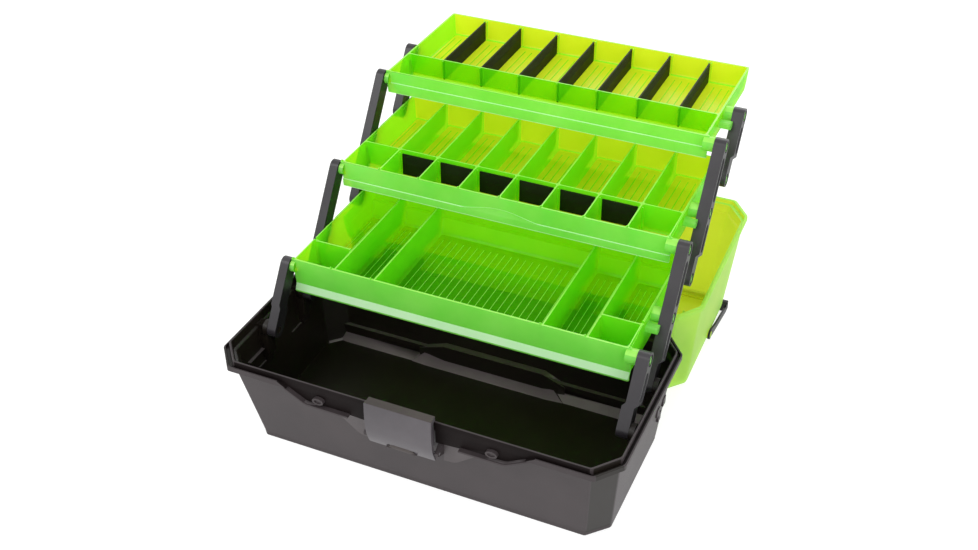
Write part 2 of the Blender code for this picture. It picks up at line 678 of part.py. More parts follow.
def make_latch(group, extras, mat, pin_mat):
    bm = bmesh.new()
    profile = latch_profile()
    loft(bm, [[(x, y, z) for y, z in profile] for x in (-LATCH_HALF_WIDTH, LATCH_HALF_WIDTH)])
    latch = add_object("latch", bm, group, mat)
    eyes = bmesh.new()
    for side in (-1, 1):
        x = side * (LATCH_HALF_WIDTH - 14 * MM)
        half = 4 * MM
        points = [(LATCH_FACE_Y + 2 * MM, LATCH_PIVOT_Z - 3.6 * MM),
                  (LATCH_PIVOT_Y + 2 * MM, LATCH_PIVOT_Z - 3.6 * MM),
                  (LATCH_PIVOT_Y + 3.6 * MM, LATCH_PIVOT_Z),
                  (LATCH_PIVOT_Y + 2 * MM, LATCH_PIVOT_Z + 3.6 * MM),
                  (LATCH_FACE_Y + 2 * MM, LATCH_PIVOT_Z + 3.6 * MM)]
        loft(eyes, [[(px, y, z) for y, z in points] for px in (x - half, x + half)])
    boolean(latch, add_object("cut_latch_eyes", eyes, extras), "UNION")
    bore = bmesh.new()
    add_rod(bore, -LATCH_HALF_WIDTH, LATCH_HALF_WIDTH, LATCH_PIVOT_Y, LATCH_PIVOT_Z,
            LATCH_PIN_R + 0.05 * MM, 24)
    boolean(latch, add_object("cut_latch_bore", bore, extras), "DIFFERENCE")
    pin = bmesh.new()
    reach = LATCH_HALF_WIDTH + GAP + 2 * LUG_HALF
    add_rod(pin, -reach, reach, LATCH_PIVOT_Y, LATCH_PIVOT_Z, LATCH_PIN_R, 24)
    add_object("latch_pin", pin, group, pin_mat)
    return latch


def build():
    clear_scene()
    group, extras = collection("tackle_box"), collection("cutters")
    black = material("black_plastic", BLACK, 0.5)
    grey = material("grey_plastic", GREY, 0.45)
    green = material("green_plastic", GREEN, 0.25, 0.3)
    lime = material("lime_plastic", LIME, 0.25, 0.4)
    steel = material("steel", STEEL, 0.3)
    make_base(group, extras, grey)
    make_lid(group, extras, lime)
    make_handle(group, extras, black)
    for level in (1, 2, 3):
        make_tray(level, group, extras, green)
    make_upper_dividers(group, black)
    make_middle_dividers(group, black)
    arms = (("front_short_arm", (0, 1), 1), ("front_long_arm", (0, 2), 2),
            ("rear_long_arm", (1, 2), 2), ("rear_short_arm", (2, 2), 1))
    for side in (-1, 1):
        for name, lower, span in arms:
            make_arm(name, side, lower, span, group, extras, grey)
        make_hinge_pin(side, group, steel)
    make_latch(group, extras, grey, steel)
    extras.hide_render = True


build()
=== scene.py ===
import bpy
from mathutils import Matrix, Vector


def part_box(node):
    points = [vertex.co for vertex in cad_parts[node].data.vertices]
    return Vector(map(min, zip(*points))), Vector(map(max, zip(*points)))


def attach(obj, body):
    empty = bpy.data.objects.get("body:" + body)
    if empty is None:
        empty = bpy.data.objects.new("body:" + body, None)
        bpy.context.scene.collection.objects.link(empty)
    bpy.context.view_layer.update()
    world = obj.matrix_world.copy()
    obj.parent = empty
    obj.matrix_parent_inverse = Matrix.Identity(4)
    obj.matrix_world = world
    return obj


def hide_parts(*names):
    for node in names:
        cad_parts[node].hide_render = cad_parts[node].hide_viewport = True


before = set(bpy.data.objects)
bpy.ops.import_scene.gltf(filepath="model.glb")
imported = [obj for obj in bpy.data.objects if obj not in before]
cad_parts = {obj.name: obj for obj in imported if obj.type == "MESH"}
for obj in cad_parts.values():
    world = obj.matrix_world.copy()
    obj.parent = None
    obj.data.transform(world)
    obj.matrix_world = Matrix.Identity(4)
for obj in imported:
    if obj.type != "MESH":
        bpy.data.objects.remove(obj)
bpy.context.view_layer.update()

from math import cos, pi, radians, sin

import bpy
from mathutils import Vector

MM = 0.001


# The studio: a pale floor, a white room, three large soft lamps, and the camera in front
# of the latch, a little to its right and looking down on the open trays.
def pick_nothing():
    if bpy.context.object and bpy.context.object.mode == "EDIT":
        bpy.ops.object.mode_set(mode="OBJECT")
    bpy.ops.object.select_all(action="DESELECT")


def paint(name):
    """A node material; returns it with a maker of its nodes, its links and its shader."""
    made = bpy.data.materials.new(name)
    made.use_nodes = True
    tree = made.node_tree
    shader = tree.nodes["Principled BSDF"]

    def node(kind, **settings):
        new = tree.nodes.new("ShaderNode" + kind)
        for key, value in settings.items():
            if hasattr(new, key):
                setattr(new, key, value)
            else:
                new.inputs[key.replace("_", " ")].default_value = value
        return new
    return made, node, tree.links.new, shader


def pale_floor():
    pick_nothing()
    bpy.ops.mesh.primitive_plane_add(size=12, location=(0, 0.2, -0.0004))
    floor = bpy.context.object
    floor.name = "floor"
    white, _, _, shader = paint("floor_white")
    shader.inputs["Base Color"].default_value = (0.35, 0.35, 0.35, 1)
    shader.inputs["Roughness"].default_value = 1
    shader.inputs["Emission Color"].default_value = (1, 1, 1, 1)
    shader.inputs["Emission Strength"].default_value = 0.78
    floor.data.materials.append(white)


def soft_lamp(name, place, aim, size, watts):
    lamp = bpy.data.lights.new(name, "AREA")
    lamp.shape, lamp.size, lamp.energy = "DISK", size, watts
    holder = bpy.data.objects.new(name, lamp)
    bpy.context.scene.collection.objects.link(holder)
    holder.location = place
    holder.rotation_euler = (Vector(aim) - Vector(place)).to_track_quat("-Z", "Y").to_euler()


def white_room(strength):
    room = bpy.data.worlds.new("studio")
    bpy.context.scene.world = room
    room.use_nodes = True
    light = room.node_tree.nodes["Background"].inputs
    light["Color"].default_value, light["Strength"].default_value = (1, 1, 1, 1), strength


def set_camera(place, down, right, lens):
    data = bpy.data.cameras.new("camera")
    data.lens, data.sensor_width, data.sensor_fit = lens, 36, "HORIZONTAL"
    camera = bpy.data.objects.new("camera", data)
    bpy.context.scene.collection.objects.link(camera)
    camera.location = place
    camera.rotation_euler = (radians(90 - down), 0, radians(right))
    bpy.context.scene.camera = camera


pale_floor()
white_room(1.0)
soft_lamp("key_lamp", (-0.9, -1.2, 1.9), (0, 0, 0.1), 1.2, 13)
soft_lamp("side_lamp", (1.6, -1.5, 1.0), (0, 0.1, 0.1), 1.2, 12)
soft_lamp("back_lamp", (0.1, 1.9, 1.4), (0, 0.2, 0.15), 1.6, 12)
set_camera((452.1 * MM, -927.7 * MM, 933.7 * MM), 35.18, 23.88, 47.12)
bpy.context.scene.view_settings.view_transform = "Standard"


# Base tub: one deep injection moulding in filled black polypropylene, spark-grained on
# the outside and smooth inside. The drafted walls end in a flange with a seat round a
# raised inner lip; the front of the flange dips either side of the latch.
RIM_X, RIM_Y, RIM_Z = 215 * MM, 112 * MM, 117 * MM
FOOT_X, FOOT_FRONT, FOOT_BACK = 202 * MM, -86 * MM, 99 * MM
CORNER_CUT, CORNER_ROUND = 19 * MM, 1.6 * MM
TUB_WALL = 3 * MM


def moulded(name, low, high, edges, flow, fine, gloss, grain):
    """Plastic whose broad flow marks change its tone and gloss, with a fine grain."""
    made, node, link, shader = paint(name)
    place = node("TexCoord")
    marks = node("TexNoise", **flow)
    pits = node("TexNoise", Detail=2.0, Scale=fine)
    for texture in (marks, pits):
        link(place.outputs["Object"], texture.inputs["Vector"])
    tone = node("ValToRGB")
    ends = tone.color_ramp.elements
    ends[0].position, ends[0].color = edges[0], low
    ends[1].position, ends[1].color = edges[1], high
    link(marks.outputs["Fac"], tone.inputs["Fac"])
    link(tone.outputs["Color"], shader.inputs["Base Color"])
    polish = node("MapRange", To_Min=gloss[0], To_Max=gloss[1])
    link(marks.outputs["Fac"], polish.inputs["Value"])
    link(polish.outputs["Result"], shader.inputs["Roughness"])
    relief = node("Bump", Strength=grain[0], Distance=grain[1])
    link(pits.outputs["Fac"], relief.inputs["Height"])
    link(relief.outputs["Normal"], shader.inputs["Normal"])
    return made, node, link, shader, tone


def grained(name, low, high, roughness, grain=0.5, shine=0.5):
    """Opaque plastic with a spark-eroded grain of about a millimetre."""
    made, _, _, shader, _ = moulded(
        name, low, high, (0.32, 0.68), {"Scale": 18.0, "Detail": 5.0, "Roughness": 0.6},
        1 / (0.8 * MM), (roughness - 0.05, roughness + 0.07), (grain, 0.12 * MM))
    shader.inputs["Specular IOR Level"].default_value = shine
    return made


tub_outside = grained("tub_outside", (0.033, 0.026, 0.028, 1), (0.047, 0.038, 0.04, 1), 0.46, 0.8, 0.28)
# Inner faces: the same black plastic, smooth, with a much darker base colour as painted shade inside
# the tub.
tub_inside_shade = grained("tub_inside_shade", (0.0065, 0.0045, 0.0028, 1), (0.01, 0.007, 0.0045, 1), 0.42, 0.15,
                     0.35)
# Painted shade: a near-black copy for the seat round the lip and the wall in the dip.
tub_painted_shade = grained("tub_painted_shade", (0.006, 0.004, 0.004, 1), (0.009, 0.006, 0.006, 1), 0.55, 0.3, 0.1)
# Painted highlight: a light grey copy for the upward-facing slope at the foot of the back wall.
tub_slope_highlight = grained("tub_slope_highlight", (0.14, 0.11, 0.125, 1), (0.18, 0.145, 0.162, 1), 0.44, 0.8)
# Painted highlight: a lighter copy for the step tops and the wedge faces beside the latch.
tub_ledge_highlight = grained("tub_ledge_highlight", (0.06, 0.05, 0.052, 1), (0.08, 0.068, 0.07, 1), 0.44, 0.8)


def across(axis):
    """The two axes of a flat ring whose normal is the given one."""
    return {"x": ("y", "z"), "y": ("x", "z"), "z": ("x", "y")}[axis]


def ring_centre(axis, along, u, v):
    a, b = across(axis)
    spot = {axis: along, a: (u[0] + u[1]) / 2, b: (v[0] + v[1]) / 2}
    return Vector((spot["x"], spot["y"], spot["z"]))


def loft_up(name, axis, rings, cut=0.0, ease=0.0, ease_steps=3):
    """Solid drawn out ring by ring along an axis. A ring is (place along the axis, its
    two limits across, its two limits up); the first one's corners may be cut or eased."""
    pick_nothing()
    a, b = across(axis)
    along, u, v = rings[0]
    turn = {"x": (0, pi / 2, 0), "y": (pi / 2, 0, 0), "z": (0, 0, 0)}[axis]
    centre = ring_centre(axis, along, u, v)
    bpy.ops.mesh.primitive_plane_add(size=1, location=centre, rotation=turn)
    bpy.ops.object.transform_apply(location=True, rotation=True, scale=True)
    bpy.ops.object.mode_set(mode="EDIT")
    scale = {axis: 1, a: u[1] - u[0], b: v[1] - v[0]}
    bpy.ops.transform.resize(value=(scale["x"], scale["y"], scale["z"]), center_override=centre)
    if cut:
        bpy.ops.mesh.bevel(offset=cut, segments=1, affect="VERTICES")
    if ease:
        bpy.ops.mesh.bevel(offset=ease, segments=ease_steps, affect="VERTICES")
    for along, new_u, new_v in rings[1:]:
        bpy.ops.mesh.extrude_region()
        scale = {axis: 1, a: (new_u[1] - new_u[0]) / (u[1] - u[0]),
                 b: (new_v[1] - new_v[0]) / (v[1] - v[0])}
        bpy.ops.transform.resize(value=(scale["x"], scale["y"], scale["z"]),
                                 center_override=centre)
        u, v = new_u, new_v
        step = ring_centre(axis, along, u, v) - centre
        bpy.ops.transform.translate(value=step)
        centre += step
    bpy.ops.mesh.select_all(action="SELECT")
    bpy.ops.mesh.normals_make_consistent(inside=False)
    bpy.ops.object.mode_set(mode="OBJECT")
    made = bpy.context.object
    made.name = name
    return made


def block(name, low, high, ease=0.0):
    """Box between two corners, all its edges rounded."""
    made = loft_up(name, "z", [(low[2], (low[0], high[0]), (low[1], high[1])),
                               (high[2], (low[0], high[0]), (low[1], high[1]))])
    if ease:
        soften(made, ease)
    return made


def peg(name, axis, centre, radius, start, end, sides=32, ease=0.0):
    """Round bar along an axis with rounded rims."""
    pick_nothing()
    spot = list(centre)
    spot["xyz".index(axis)] = (start + end) / 2
    turn = {"x": (0, pi / 2, 0), "y": (pi / 2, 0, 0), "z": (0, 0, 0)}[axis]
    bpy.ops.mesh.primitive_cylinder_add(vertices=sides, radius=radius, depth=abs(end - start),
                                        location=spot, rotation=turn)
    made = bpy.context.object
    made.name = name
    bpy.ops.object.transform_apply(location=True, rotation=True, scale=True)
    if ease:
        soften(made, ease, 40)
    return made


def apply_modifiers(thing):
    pick_nothing()
    thing.select_set(True)
    bpy.context.view_layer.objects.active = thing
    for modifier in list(thing.modifiers):
        bpy.ops.object.modifier_apply(modifier=modifier.name)


def soften(thing, width, angle=30, segments=2, even=False):
    """Rounds a piece's sharp edges and shades it smooth between them; even keeps flats flat."""
    bevel = thing.modifiers.new("soften", "BEVEL")
    bevel.width, bevel.segments = width, segments
    bevel.limit_method, bevel.angle_limit = "ANGLE", radians(angle)
    apply_modifiers(thing)
    bpy.ops.object.shade_smooth_by_angle(angle=radians(angle))
    if even:
        weights = thing.modifiers.new("even", "WEIGHTED_NORMAL")
        weights.keep_sharp = True
        apply_modifiers(thing)


def together(name, parts):
    """Several pieces joined into one object."""
    pick_nothing()
    for part in parts:
        part.select_set(True)
    bpy.context.view_layer.objects.active = parts[0]
    bpy.ops.object.join()
    parts[0].name = name
    return parts[0]


def fuse(target, tools, operation="DIFFERENCE"):
    """Cuts tools out of a piece, or unites them with it, and throws them away."""
    tool = together("tool", tools)
    modifier = target.modifiers.new("fuse", "BOOLEAN")
    modifier.operation, modifier.solver, modifier.object = operation, "EXACT", tool
    modifier.use_self = operation == "UNION"
    apply_modifiers(target)
    bpy.data.objects.remove(tool)
    return target


def tub_ring(z, half_x, front, back):
    return z, (-half_x, half_x), (front, back)


def rim_ring(down, out):
    """Ring at a depth under the lip's top, set out from the lip's outer face."""
    return tub_ring(RIM_Z - down * MM, RIM_X + out * MM, -RIM_Y - out * MM, RIM_Y + out * MM)


def foot_ring(z, inset):
    inset *= MM
    return tub_ring(z * MM, FOOT_X - inset, FOOT_FRONT + inset, FOOT_BACK - inset)


def make_tub():
    """Up the outside, over the flange and the lip, and down the inside to the floor."""
    outside = [foot_ring(1.2, 10), foot_ring(0, 7), foot_ring(0, 1.5), foot_ring(0.9, 0.3),
               foot_ring(5, 0), foot_ring(8, -0.4)]
    rim = [rim_ring(12, -2.7), rim_ring(11.2, -2.5), rim_ring(10.9, -1.4), rim_ring(10.9, 3.6),
           rim_ring(10.5, 4), rim_ring(5.4, 4), rim_ring(5, 3.6), rim_ring(5, 2.4),
           rim_ring(7.6, 2.1), rim_ring(7.6, -0.4), rim_ring(6, -0.6), rim_ring(0.7, -0.8),
           rim_ring(0, -1.3), rim_ring(0, -2), rim_ring(0.6, -2.5), rim_ring(9, -3),
           rim_ring(10.6, -3.6), rim_ring(12, -5.6), rim_ring(13, -6.3)]
    wall = TUB_WALL / MM
    inside = [foot_ring(14, wall), foot_ring(7, wall + 0.6), foot_ring(4.6, wall + 1.8),
              foot_ring(4, wall + 4)]
    return loft_up("base_tub", "z", outside + rim + inside, CORNER_CUT, CORNER_ROUND)


def front_wall_y(z):
    """Where the front wall's outside is at a height, by its draft."""
    part = (z - 8 * MM) / (RIM_Z - 20 * MM)
    return FOOT_FRONT - 0.4 * MM + part * (-RIM_Y + 2.8 * MM - FOOT_FRONT)


def dip_cutter():
    """Takes the flange away over the dip, lip left standing."""
    rings = []
    for x, low in ((-139, 112), (-110, 95), (-88, 94), (-46, 90), (46, 90), (88, 94),
                   (110, 95), (139, 112)):
        rings.append((x * MM, (-RIM_Y - 9 * MM, -RIM_Y + 0.6 * MM), (low * MM, 113 * MM)))
    return loft_up("dip", "x", rings)


def dip_ledge(side):
    """Thin shelf that carries on the flange's edge down and along the dip."""
    rings = []
    for x, z in ((140, 109.2), (135, 107.6), (110, 93.6), (106, 92.6), (88, 92.4), (60, 92.4)):
        inner = front_wall_y(z * MM) + 2 * MM
        rings.append((side * x * MM, (-RIM_Y - 3.9 * MM, inner), ((z - 1.2) * MM, (z + 0.6) * MM)))
    return loft_up("ledge", "x", rings)


def dip_back(side):
    """Upright wall behind the ledge, from it up to the lip."""
    rings = []
    for x, z in ((135, 106), (110, 93), (60, 91.5), (34, 90)):
        rings.append((side * x * MM, (-RIM_Y + 1.5 * MM, -RIM_Y + 5 * MM), (z * MM, 111 * MM)))
    return loft_up("dip_back", "x", rings)


def latch_ramp(side):
    """Wedge that swells out to meet the latch; its face leans back to the wall."""
    rings = []
    for x, low, high, out in ((81, 87, 90, 0.2), (55, 68, 90, 5.6), (51, 66.6, 89.6, 6.4),
                              (40.6, 66, 88.6, 6.8)):
        wall = front_wall_y(low * MM)
        rings.append((side * x * MM, (wall - out * MM, wall + 2.4 * MM), (low * MM, high * MM)))
    ramp = loft_up("ramp", "x", rings)
    for vert in ramp.data.vertices:
        if vert.co.z > 86 * MM and vert.co.y < -106 * MM:
            vert.co.y += 1.6 * MM
    return ramp


def stretch(factors, centre):
    """Scales the piece just made about a point."""
    bpy.ops.object.mode_set(mode="EDIT")
    bpy.ops.transform.resize(value=factors, center_override=centre)
    bpy.ops.object.mode_set(mode="OBJECT")


def lock_eye(side):
    """Oval eye for a padlock, standing on the ledge, and the hole through it."""
    spot = (side * 94 * MM, -RIM_Y, 99.5 * MM)
    eye = peg("eye", "y", spot, 5 * MM, -RIM_Y - 2.6 * MM, -RIM_Y + 4 * MM, 40)
    stretch((1.25, 1, 0.8), spot)
    hole = peg("eye_hole", "y", spot, 2.6 * MM, -RIM_Y - 9 * MM, -RIM_Y - 1.4 * MM, 32)
    stretch((1.5, 1, 0.8), spot)
    return eye, hole


def span(side, near, far):
    """Limits across, in order, of something at one end of the box."""
    return sorted((side * near, side * far))


PIVOT_Z, PIN_ROUND = 103.5 * MM, 3.7 * MM
BASE_PIVOTS = (-33.7 * MM, 39.9 * MM)
ARM_FACES = {-1: (188.9 * MM, 198.8 * MM), 1: (195.4 * MM, 208 * MM)}
ARM_FOOT_FACES = {-1: (186.9 * MM, 197.2 * MM), 1: (192.2 * MM, 204.8 * MM)}


def arm_bracket(side, y):
    """Post on an end wall behind an arm's pivot, with a foot, a disc and the pivot pin."""
    def wall_x(z):
        return FOOT_X + (z - 5 * MM) / (RIM_Z - 16 * MM) * (RIM_X - FOOT_X) - TUB_WALL * 0.6

    outer = ARM_FOOT_FACES[side][0] + 0.2 * MM
    inner = ARM_FOOT_FACES[side][1] + 0.3 * MM
    rings = []
    for z, wide, reach in ((60, 6, 4.2), (68, 9, 3.4), (74, 7.5, 0), (96, 7.5, 0), (108, 5.5, 0)):
        start = min(inner + reach * MM, wall_x(z * MM) - 0.5 * MM)
        xs = span(side, start, wall_x(z * MM))
        rings.append((z * MM, xs, (y - wide * MM, y + wide * MM)))
    post = loft_up("post", "z", rings, 0, 1 * MM)
    spot = (0, y, PIVOT_Z)
    disc = peg("disc", "x", spot, 9 * MM, *span(side, inner - 0.1 * MM, inner + 5 * MM))
    pin = peg("pin", "x", spot, PIN_ROUND, *span(side, outer, inner + 2 * MM))
    return [post, disc, pin]


def wall_ledges():
    """Long low steps inside: along the end walls, and along the back with a taller middle."""
    steps = []
    for side in (-1, 1):
        for z, y0, y1 in ((80, -70, -42), (63, -55, -24), (63, 13, 41), (80, 50, 78)):
            x0, x1 = span(side, 202.4 * MM, 206.5 * MM)
            steps.append(block("end_step", (x0, y0 * MM, (z - 1.2) * MM), (x1, y1 * MM, z * MM)))
    back = FOOT_BACK - TUB_WALL

    def back_ring(x, top, deep):
        return x * MM, (back - deep * MM, back + 1.5 * MM), (3 * MM, top * MM)

    low = loft_up("back_step", "x", [back_ring(x, 25, 3.6) for x in (-198, 198)])
    foot = loft_up("back_foot", "x", [back_ring(x, 14, 10) for x in (-194, 194)])
    mid = loft_up("back_middle", "x", [back_ring(-86, 22, 4.6), back_ring(-54, 34, 6.5),
                                       back_ring(66, 34, 6.5), back_ring(92, 22, 4.6)])
    mid_foot = loft_up("back_middle_foot", "x", [back_ring(-94, 4, 10.2), back_ring(-76, 20, 12),
                                                 back_ring(74, 20, 12), back_ring(92, 4, 10.2)])
    for piece in (foot, mid_foot):
        for vert in piece.data.vertices:
            if vert.co.y < back - 3 * MM and vert.co.z > 8 * MM:
                vert.co.y = back - 3.6 * MM
    return steps + [low, foot, mid, mid_foot]


HINGE_Y, HINGE_Z, HINGE_X = 127 * MM, 116 * MM, 120 * MM


def hinge_knuckles(toward, halves):
    """Straps and barrels of the two hinges; toward is -1 for the base, 1 for the shut lid."""
    parts = []
    for side in (-1, 1):
        for start, end in halves:
            x0, x1 = span(side, HINGE_X + start * MM, HINGE_X + end * MM)
            parts.append(peg("barrel", "x", (0, HINGE_Y, HINGE_Z), 4.2 * MM, x0, x1, 32, 0.4 * MM))
            low, high = (106.6, 111.8) if toward < 0 else (118.2, 123.6)
            strap = loft_up("strap", "y", [
                (RIM_Y + 1.6 * MM, (x0, x1), (low * MM, high * MM)),
                (HINGE_Y - 1 * MM, (x0, x1), (HINGE_Z - 3.4 * MM, HINGE_Z + 3.4 * MM))])
            parts.append(strap)
    return parts


def side_lugs():
    """Small stepped bumps low on the outside of the right-hand end."""
    lugs = []
    for y, z in ((52, 60), (62, 46), (72, 60)):
        x = FOOT_X + z / 100 * 8 * MM
        lugs.append(block("lug", (x - 3 * MM, (y - 4) * MM, (z - 5) * MM),
                          (x + 2.4 * MM, (y + 4) * MM, (z + 5) * MM)))
    return lugs


LATCH_PIN_Y, LATCH_PIN_Z = -116 * MM, 82 * MM


def latch_lugs():
    """Ears either side of the latch that hold its pin."""
    lugs = []
    for side in (-1, 1):
        xs = span(side, 36.4 * MM, 40.6 * MM)
        lugs.append(loft_up("latch_lug", "y", [
            (front_wall_y(LATCH_PIN_Z) + 1.5 * MM, xs, (72 * MM, 94 * MM)),
            (LATCH_PIN_Y, xs, (78.8 * MM, 85.2 * MM)),
            (-119.2 * MM, xs, (80.4 * MM, 83.6 * MM))]))
    return lugs


def colour_inside(thing, inner, test):
    """Gives the faces that pass a test of their centre and normal the second material."""
    thing.data.materials.append(inner)
    for face in thing.data.polygons:
        if test(face.center, face.normal):
            face.material_index = len(thing.data.materials) - 1


def is_inside_tub(centre, normal):
    """Inner faces: nearer the middle than the wall's mid line at their height."""
    part = min(1, max(0, centre.z / RIM_Z))
    if centre.z > RIM_Z - 1.3 * MM:
        return False
    half_x = FOOT_X + part * (RIM_X - FOOT_X) - 1.8 * MM
    front = FOOT_FRONT + part * (-RIM_Y - FOOT_FRONT) + 1.8 * MM
    back = FOOT_BACK + part * (RIM_Y - FOOT_BACK) - 1.8 * MM
    return (abs(centre.x) < half_x and front < centre.y < back and centre.z > 3 * MM
            and not (centre.z < 4 * MM and normal.z < 0))


def is_painted_shade(centre, normal):
    """Painted shade: the seat round the lip, and the upright wall in the dip, made darker where shade
    falls.
    """
    out = max(abs(centre.x) - RIM_X, abs(centre.y) - RIM_Y)
    seat = -0.9 * MM < out < 2.5 * MM and RIM_Z - 8 * MM < centre.z < RIM_Z - 5.2 * MM
    dip = normal.y < -0.9 and abs(centre.x) < 137 * MM and centre.z > 89 * MM
    return seat or (dip and -RIM_Y - MM < centre.y < -RIM_Y + 1.7 * MM)


def is_slope_highlight(centre, normal):
    """Sloped foot of the back wall inside: the outside's coarser grain, and a much lighter colour as a
    painted highlight where it faces the light.
    """
    return (normal.z > 0.3 and normal.y < -0.5 and centre.y > FOOT_BACK - 18 * MM
            and abs(centre.x) < 196 * MM and centre.z < 22 * MM)


def is_lit_ledge(centre, normal):
    """Painted highlight: tops of the steps inside, and the faces of the wedges beside the latch,
    lighter than the wall round them.
    """
    back = normal.z > 0.8 and centre.y > FOOT_BACK - 14 * MM and 20 * MM < centre.z < 40 * MM
    ends = normal.z > 0.9 and abs(centre.x) > 200 * MM and 58 * MM < centre.z < 82 * MM
    wedge = (normal.y < -0.3 and 41 * MM < abs(centre.x) < 81 * MM
             and 67 * MM < centre.z < 91 * MM and centre.y < front_wall_y(centre.z) - 0.3 * MM)
    return back or (ends and abs(centre.x) < 208 * MM) or wedge


base = make_tub()
fuse(base, [dip_cutter()])
eyes, eye_holes = zip(*(lock_eye(side) for side in (-1, 1)))
added = [maker(side) for maker in (dip_ledge, dip_back, latch_ramp) for side in (-1, 1)]
added += [part for side in (-1, 1) for y in BASE_PIVOTS for part in arm_bracket(side, y)]
added += wall_ledges() + hinge_knuckles(-1, ((-24, -9), (9, 24))) + latch_lugs() + side_lugs()
fuse(base, added + list(eyes), "UNION")
fuse(base, list(eye_holes))
base.data.materials.append(tub_outside)
# Painted shade: the tub's inner faces get the darker copy of the black.
colour_inside(base, tub_inside_shade, is_inside_tub)
# Painted shade on the lip's seat and the dip wall.
colour_inside(base, tub_painted_shade, is_painted_shade)
# Painted highlight on the back wall's sloped foot.
colour_inside(base, tub_slope_highlight, is_slope_highlight)
# Painted highlight on the inner step tops and the latch wedges.
colour_inside(base, tub_ledge_highlight, is_lit_ledge)
soften(base, 0.3 * MM, 34, 2, True)
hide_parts("base_shell")
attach(base, "base")


# Latch: a grey moulded plate a little crowned, hooked back over the rim at its top, with
# a finger pull under its lower edge. Two eyes at its back turn on a steel pin.
LATCH_X, LATCH_FACE = 36 * MM, -123 * MM
LATCH_STEPS = ((70.9, -7.2, 1.4, 1.2), (71.5, -6.8, 1.8, 0.3), (74.5, -5.4, 2.8, 0), (78, -3.9, 3.4, 0),
               (84, -1.7, 3.4, 0), (92, 0, 3.2, 0), (104, 0.8, 3.2, 0), (116, 0.7, 3.2, 0),
               (124.6, 0.2, 3.4, 0), (125.7, -0.1, 4, 0), (126, -0.6, 4, 0.4))
latch_grey = grained("latch_grey", (0.054, 0.047, 0.053, 1), (0.077, 0.068, 0.076, 1), 0.36, 0.7)
# Painted shade: a darker, browner copy of the latch grey for the plate's top and rear faces.
latch_top_shade = grained("latch_top_shade", (0.046, 0.038, 0.036, 1), (0.062, 0.051, 0.048, 1), 0.5, 0.6,
                    0.2)


def make_latch():
    """Crowned plate, hook and pull; what is under the pin stays short, to turn past the wall."""
    face = LATCH_FACE
    rings = []
    for z, out, thick, in_x in LATCH_STEPS:
        half = LATCH_X - in_x * MM
        y = face - out * MM
        rings.append((z * MM, (-half, half), (y, y + thick * MM)))
    plate = loft_up("latch", "z", rings)
    rings = []
    for y, in_x, low, high in ((-121.5, 0.6, 120.6, 125.8), (-113, 0.6, 120.6, 125.8),
                               (-112.5, 1, 121.2, 125.3)):
        half = LATCH_X - in_x * MM
        rings.append((y * MM, (-half, half), (low * MM, high * MM)))
    hook = loft_up("hook", "y", rings)
    rings = []
    for z, half, front, back in ((70.7, 8, -116.4, -115.2), (71.2, 13, -117.2, -114.8),
                                 (72.6, 17, -118.2, -115), (76, 14, -119, -116.4),
                                 (78.6, 11, -118.8, -117)):
        rings.append((z * MM, (-half * MM, half * MM), (front * MM, back * MM)))
    pull = loft_up("pull", "z", rings, 0, 3 * MM)
    eyes = []
    for side in (-1, 1):
        xs = span(side, 18 * MM, 26 * MM)
        eyes.append(loft_up("latch_eye", "y", [
            (face + 4.2 * MM, xs, (79.6 * MM, 88 * MM)),
            (LATCH_PIN_Y, xs, (78.6 * MM, 85.4 * MM)),
            (-113.4 * MM, xs, (80.4 * MM, 83.6 * MM))]))
    ribs = [block("latch_rib", (x - 0.8 * MM, face + 2 * MM, 92 * MM),
                  (x + 0.8 * MM, -115.4 * MM, 123 * MM)) for x in (-34.4 * MM, 34.4 * MM)]
    fuse(plate, [hook, pull] + eyes + ribs, "UNION")
    bore = peg("bore", "x", (0, LATCH_PIN_Y, LATCH_PIN_Z), 1.55 * MM, -40 * MM, 40 * MM, 24)
    fuse(plate, [bore])
    plate.data.materials.append(latch_grey)
    # Painted shade on faces looking up or back.
    colour_inside(plate, latch_top_shade, lambda centre, normal: normal.z > 0.7 or normal.y > 0.5)
    soften(plate, 0.25 * MM, 40, 2, True)
    return plate


latch = make_latch()
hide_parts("latch")
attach(latch, "latch")


# Steel pins of the latch and of the two lid hinges: drawn wire cut to length and pressed
# in. Faint rings round the wire and small changes of polish.
def drawn_steel():
    made, node, link, shader = paint("drawn_steel")
    shader.inputs["Base Color"].default_value = (0.6, 0.6, 0.62, 1)
    shader.inputs["Metallic"].default_value = 1
    place = node("TexCoord")
    rings = node("TexWave", bands_direction="X", Scale=900.0, Distortion=1.5)
    link(place.outputs["Object"], rings.inputs["Vector"])
    polish = node("MapRange", To_Min=0.24, To_Max=0.38)
    link(rings.outputs["Fac"], polish.inputs["Value"])
    link(polish.outputs["Result"], shader.inputs["Roughness"])
    relief = node("Bump", Strength=0.15, Distance=0.05 * MM)
    link(rings.outputs["Fac"], relief.inputs["Height"])
    link(relief.outputs["Normal"], shader.inputs["Normal"])
    return made


steel = drawn_steel()
for name in ("latch_pin", "hinge_pin_left", "hinge_pin_right"):
    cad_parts[name].data.materials.clear()
    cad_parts[name].data.materials.append(steel)


# Lid: frosted lime polypropylene, a drafted tub upside down with a stepped rim that sits
# over the base's lip. Ribs brace it inside by the hinges; it lies open behind the box.
LID_TOP, LID_SWING = 231 * MM, 176.7


